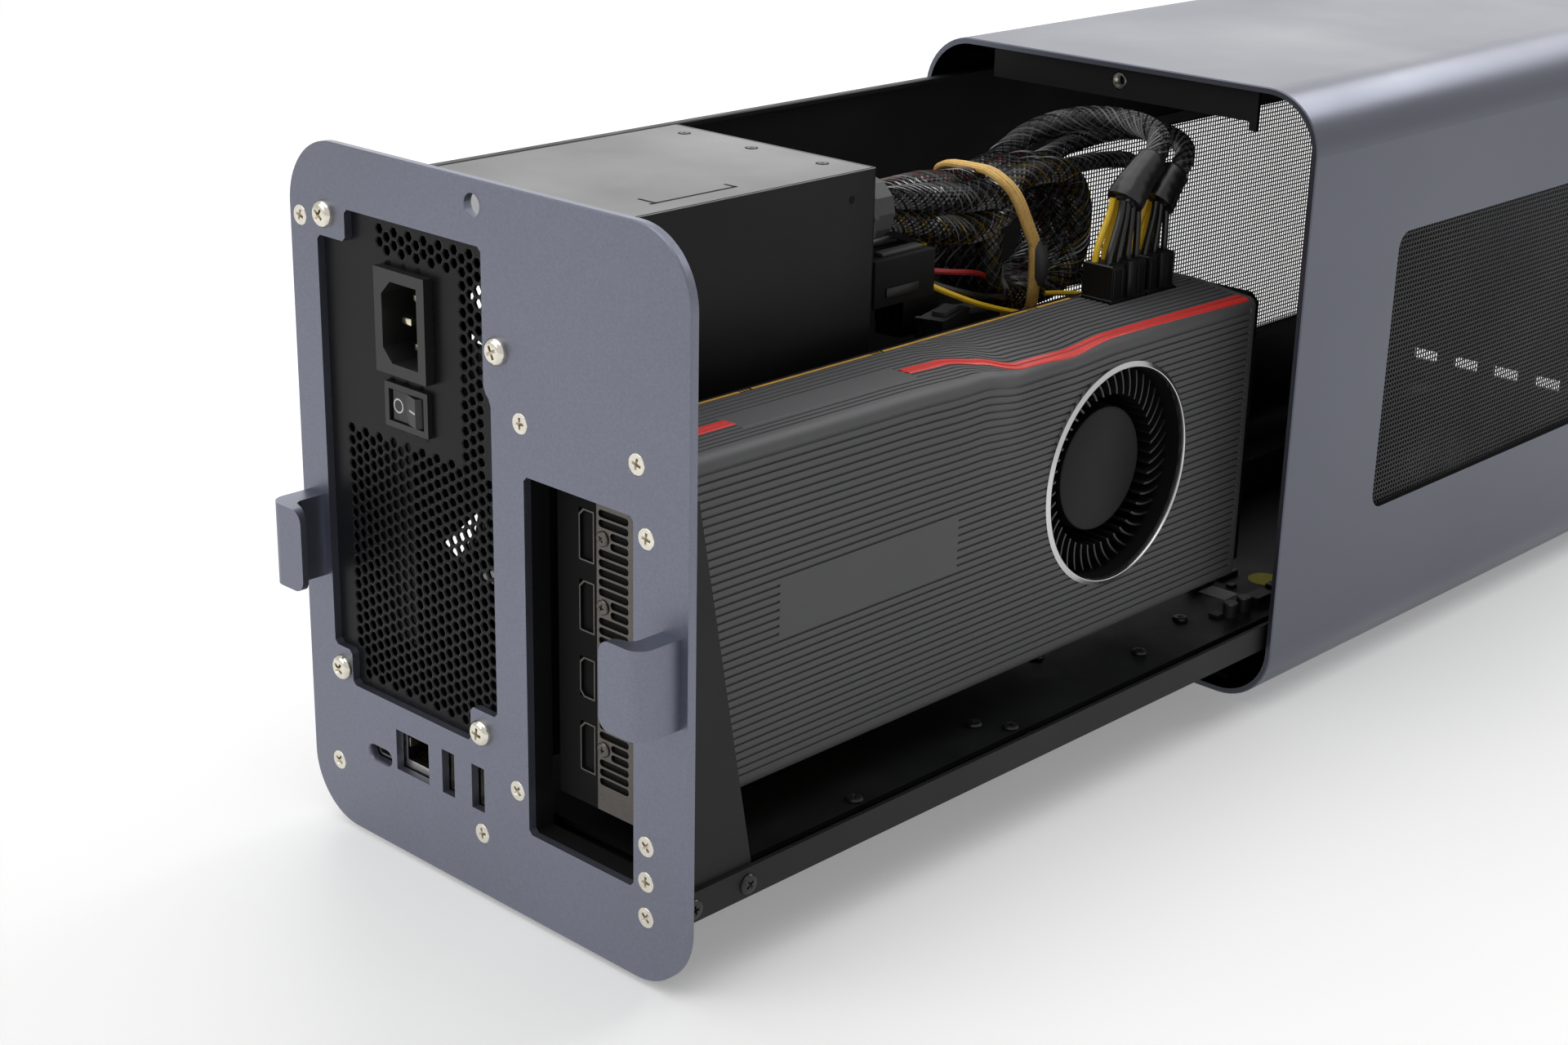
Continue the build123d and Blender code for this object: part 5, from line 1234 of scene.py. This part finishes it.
def supply_parts():
    """Tab, screws, dimples and seams of the supply, and black strips at the side panel's flange that paint
    the shade of the gap beside it.
    """
    build = Build()
    dark = look.deep_black
    tab = (((69.5, 60.2), (76.9, 61.2)), ((75.9, 58.6), (76.9, 92.6)), ((72.0, 91.6), (76.9, 92.6)))
    for (xa, ya), (xb, yb) in tab:
        a, b = row(xa, ya, 0), row(xb, yb, 0)
        build.box((a.x, a.y, PSU_TOP - 0.3), (b.x, b.y, PSU_TOP + 0.05), dark)
    for x, y in ((11.7, 134.3), (41.3, 134.3), (71.0, 134.3), (11.7, 8.5)):
        spot = row(x, y, PSU_TOP - PSU_Z)
        build.lathe(spot, UPWARD, [(2.1, -0.3), (2.1, 0.04), (0, 0.04)], 24, dark)
        cross_screw(build, spot, UPWARD, [(1.5, 0.0), (1.5, 0.1), (1.3, 0.16), (0.9, 0.17)], (0.7, 0.2, 0.15),
                    look.screw_black)
    for y, z in ((131.3, 141.9), (131.3, 9.0), (12.0, 141.9)):
        build.lathe(row(86.0, y, z), RIGHTWARD, [(1.3, -0.5), (1.3, 0.03), (0, 0.03)], 20, dark)
    build.box((PSU_RIGHT - 1.45, -302.6, PSU_TOP - 0.05), (PSU_RIGHT - 1.1, -163.6, PSU_TOP + 0.03), dark)
    # Painted shade: black strips on the side panel's flange and over the gap between the panel and the
    # supply.
    build.box((-74.3, -303.2, 196.8), (-72.65, -29.0, 197.06), dark)
    build.box((-72.75, -303.2, 195.4), (-71.42, -163.3, 196.4), dark)
    build.done("supply_small_parts", "drawer", "psu_black")


def thumbscrew_seats():
    """The rim of the thumbscrew's hole in the plate, and its threaded nut in the catch bracket."""
    x, z, catch_y = -0.7, 205.1, -24.45
    rim = Build()
    rim.lathe((x, PLATE_Y, z), REARWARD, [(3.2, -2.2), (3.2, -0.35), (3.65, 0.03), (3.75, 0.03)], 48,
              look.plate_aluminium)
    rim.done("thumb_hole_rim", "drawer", "plate_aluminium")
    nut = Build()
    flange = [(2.0, -3.0), (3.5, -3.0), (3.5, -1.52), (2.85, -1.52), (2.85, -0.3), (2.65, -0.05),
              (2.1, -0.05)]
    thread = [(1.75 if k % 2 else 2.0, -0.35 - 0.35 * k) for k in range(8)]
    nut.lathe((x, catch_y, z), REARWARD, flange + thread, 48, look.socket_steel)
    nut.lathe((x, catch_y, z), REARWARD, [(2.0, -2.9), (0, -2.9)], 48, look.deep_black)
    nut.done("catch_nut", "shell", "screw_steel")


def board_parts():
    """Sticker, blank label, chips, capacitors and screws of the main board."""
    build = Build()
    top = BOARD_TOP
    build.lathe((49.9, 14.25, top), UPWARD, [(6.0, 0.0), (6.0, 0.12), (0, 0.12)], 32, look.sticker_yellow)
    build.box((40.5, -13.5, top), (51.5, -5.0, top + 0.15), look.label_white)
    for x0, y0, x1, y1, h in (
        (56, -30, 60, -26, 1.2), (57, -10, 63, 0, 3.0), (30, 2, 40, 12, 1.6), (54, 8, 58, 12, 1.4),
        (44, -2, 47, 1, 1.0), (-40, -60, -22, -42, 2.2), (-30, -10, -12, 8, 1.6), (-50, -140, -38, -128, 1.6),
        (0, -20, 12, -10, 2.0), (-55, -40, -49, -34, 1.2),
    ):
        build.box((x0, y0, top), (x1, y1, top + h), look.chip_black, 0.2, 1)
    for x, y in ((61, -16), (61, -24), (36, -2), (36, -10), (-48, 6), (-40, 6)):
        build.lathe((x, y, top), UPWARD, [(2.6, 0.0), (2.6, 4.6), (2.3, 5.0), (0, 5.0)], 20, look.shield_grey)
    for x, y in ((138.0, 82.5), (138.5, 154.3), (128.7, 147.6), (108.8, 204.0), (122.6, 266.0),
                 (130.4, 231.7)):
        spot = row(x, y, 0)
        cross_screw(build, (min(spot.x, 66.5), spot.y, top), UPWARD,
                    [(2.6, 0.0), (2.7, 0.5), (2.3, 1.1), (1.6, 1.25)], (1.2, 0.3, 0.7), look.screw_black)
    build.done("board_parts", "drawer", "board_green")


switch_marks()
inlet_blades()
supply_parts()
thumbscrew_seats()
board_parts()

# Soft edges on folded and moulded pieces, by their width
SOFT_EDGES = {
    0.25: ("catch_bracket", "switch_rocker"),
    0.3: ("card_gusset", "card_frame", "rubber_feet"),
    0.35: ("rear_plate",),
    0.4: ("pull_left", "pull_right", "left_side_panel", "plug_a", "plug_b", "power_inlet", "switch_frame",
          "card_socket", "cable_grommet"),
    0.5: ("base_tray", "psu_cover"),
    1.0: ("card_end_cap",),
}
for width, names in SOFT_EDGES.items():
    for name in names:
        edge = nodes[name].modifiers.new("soft_edges", "BEVEL")
        edge.width = width / 1000
        edge.segments = 2
        edge.limit_method = "ANGLE"
        edge.angle_limit = math.radians(40)
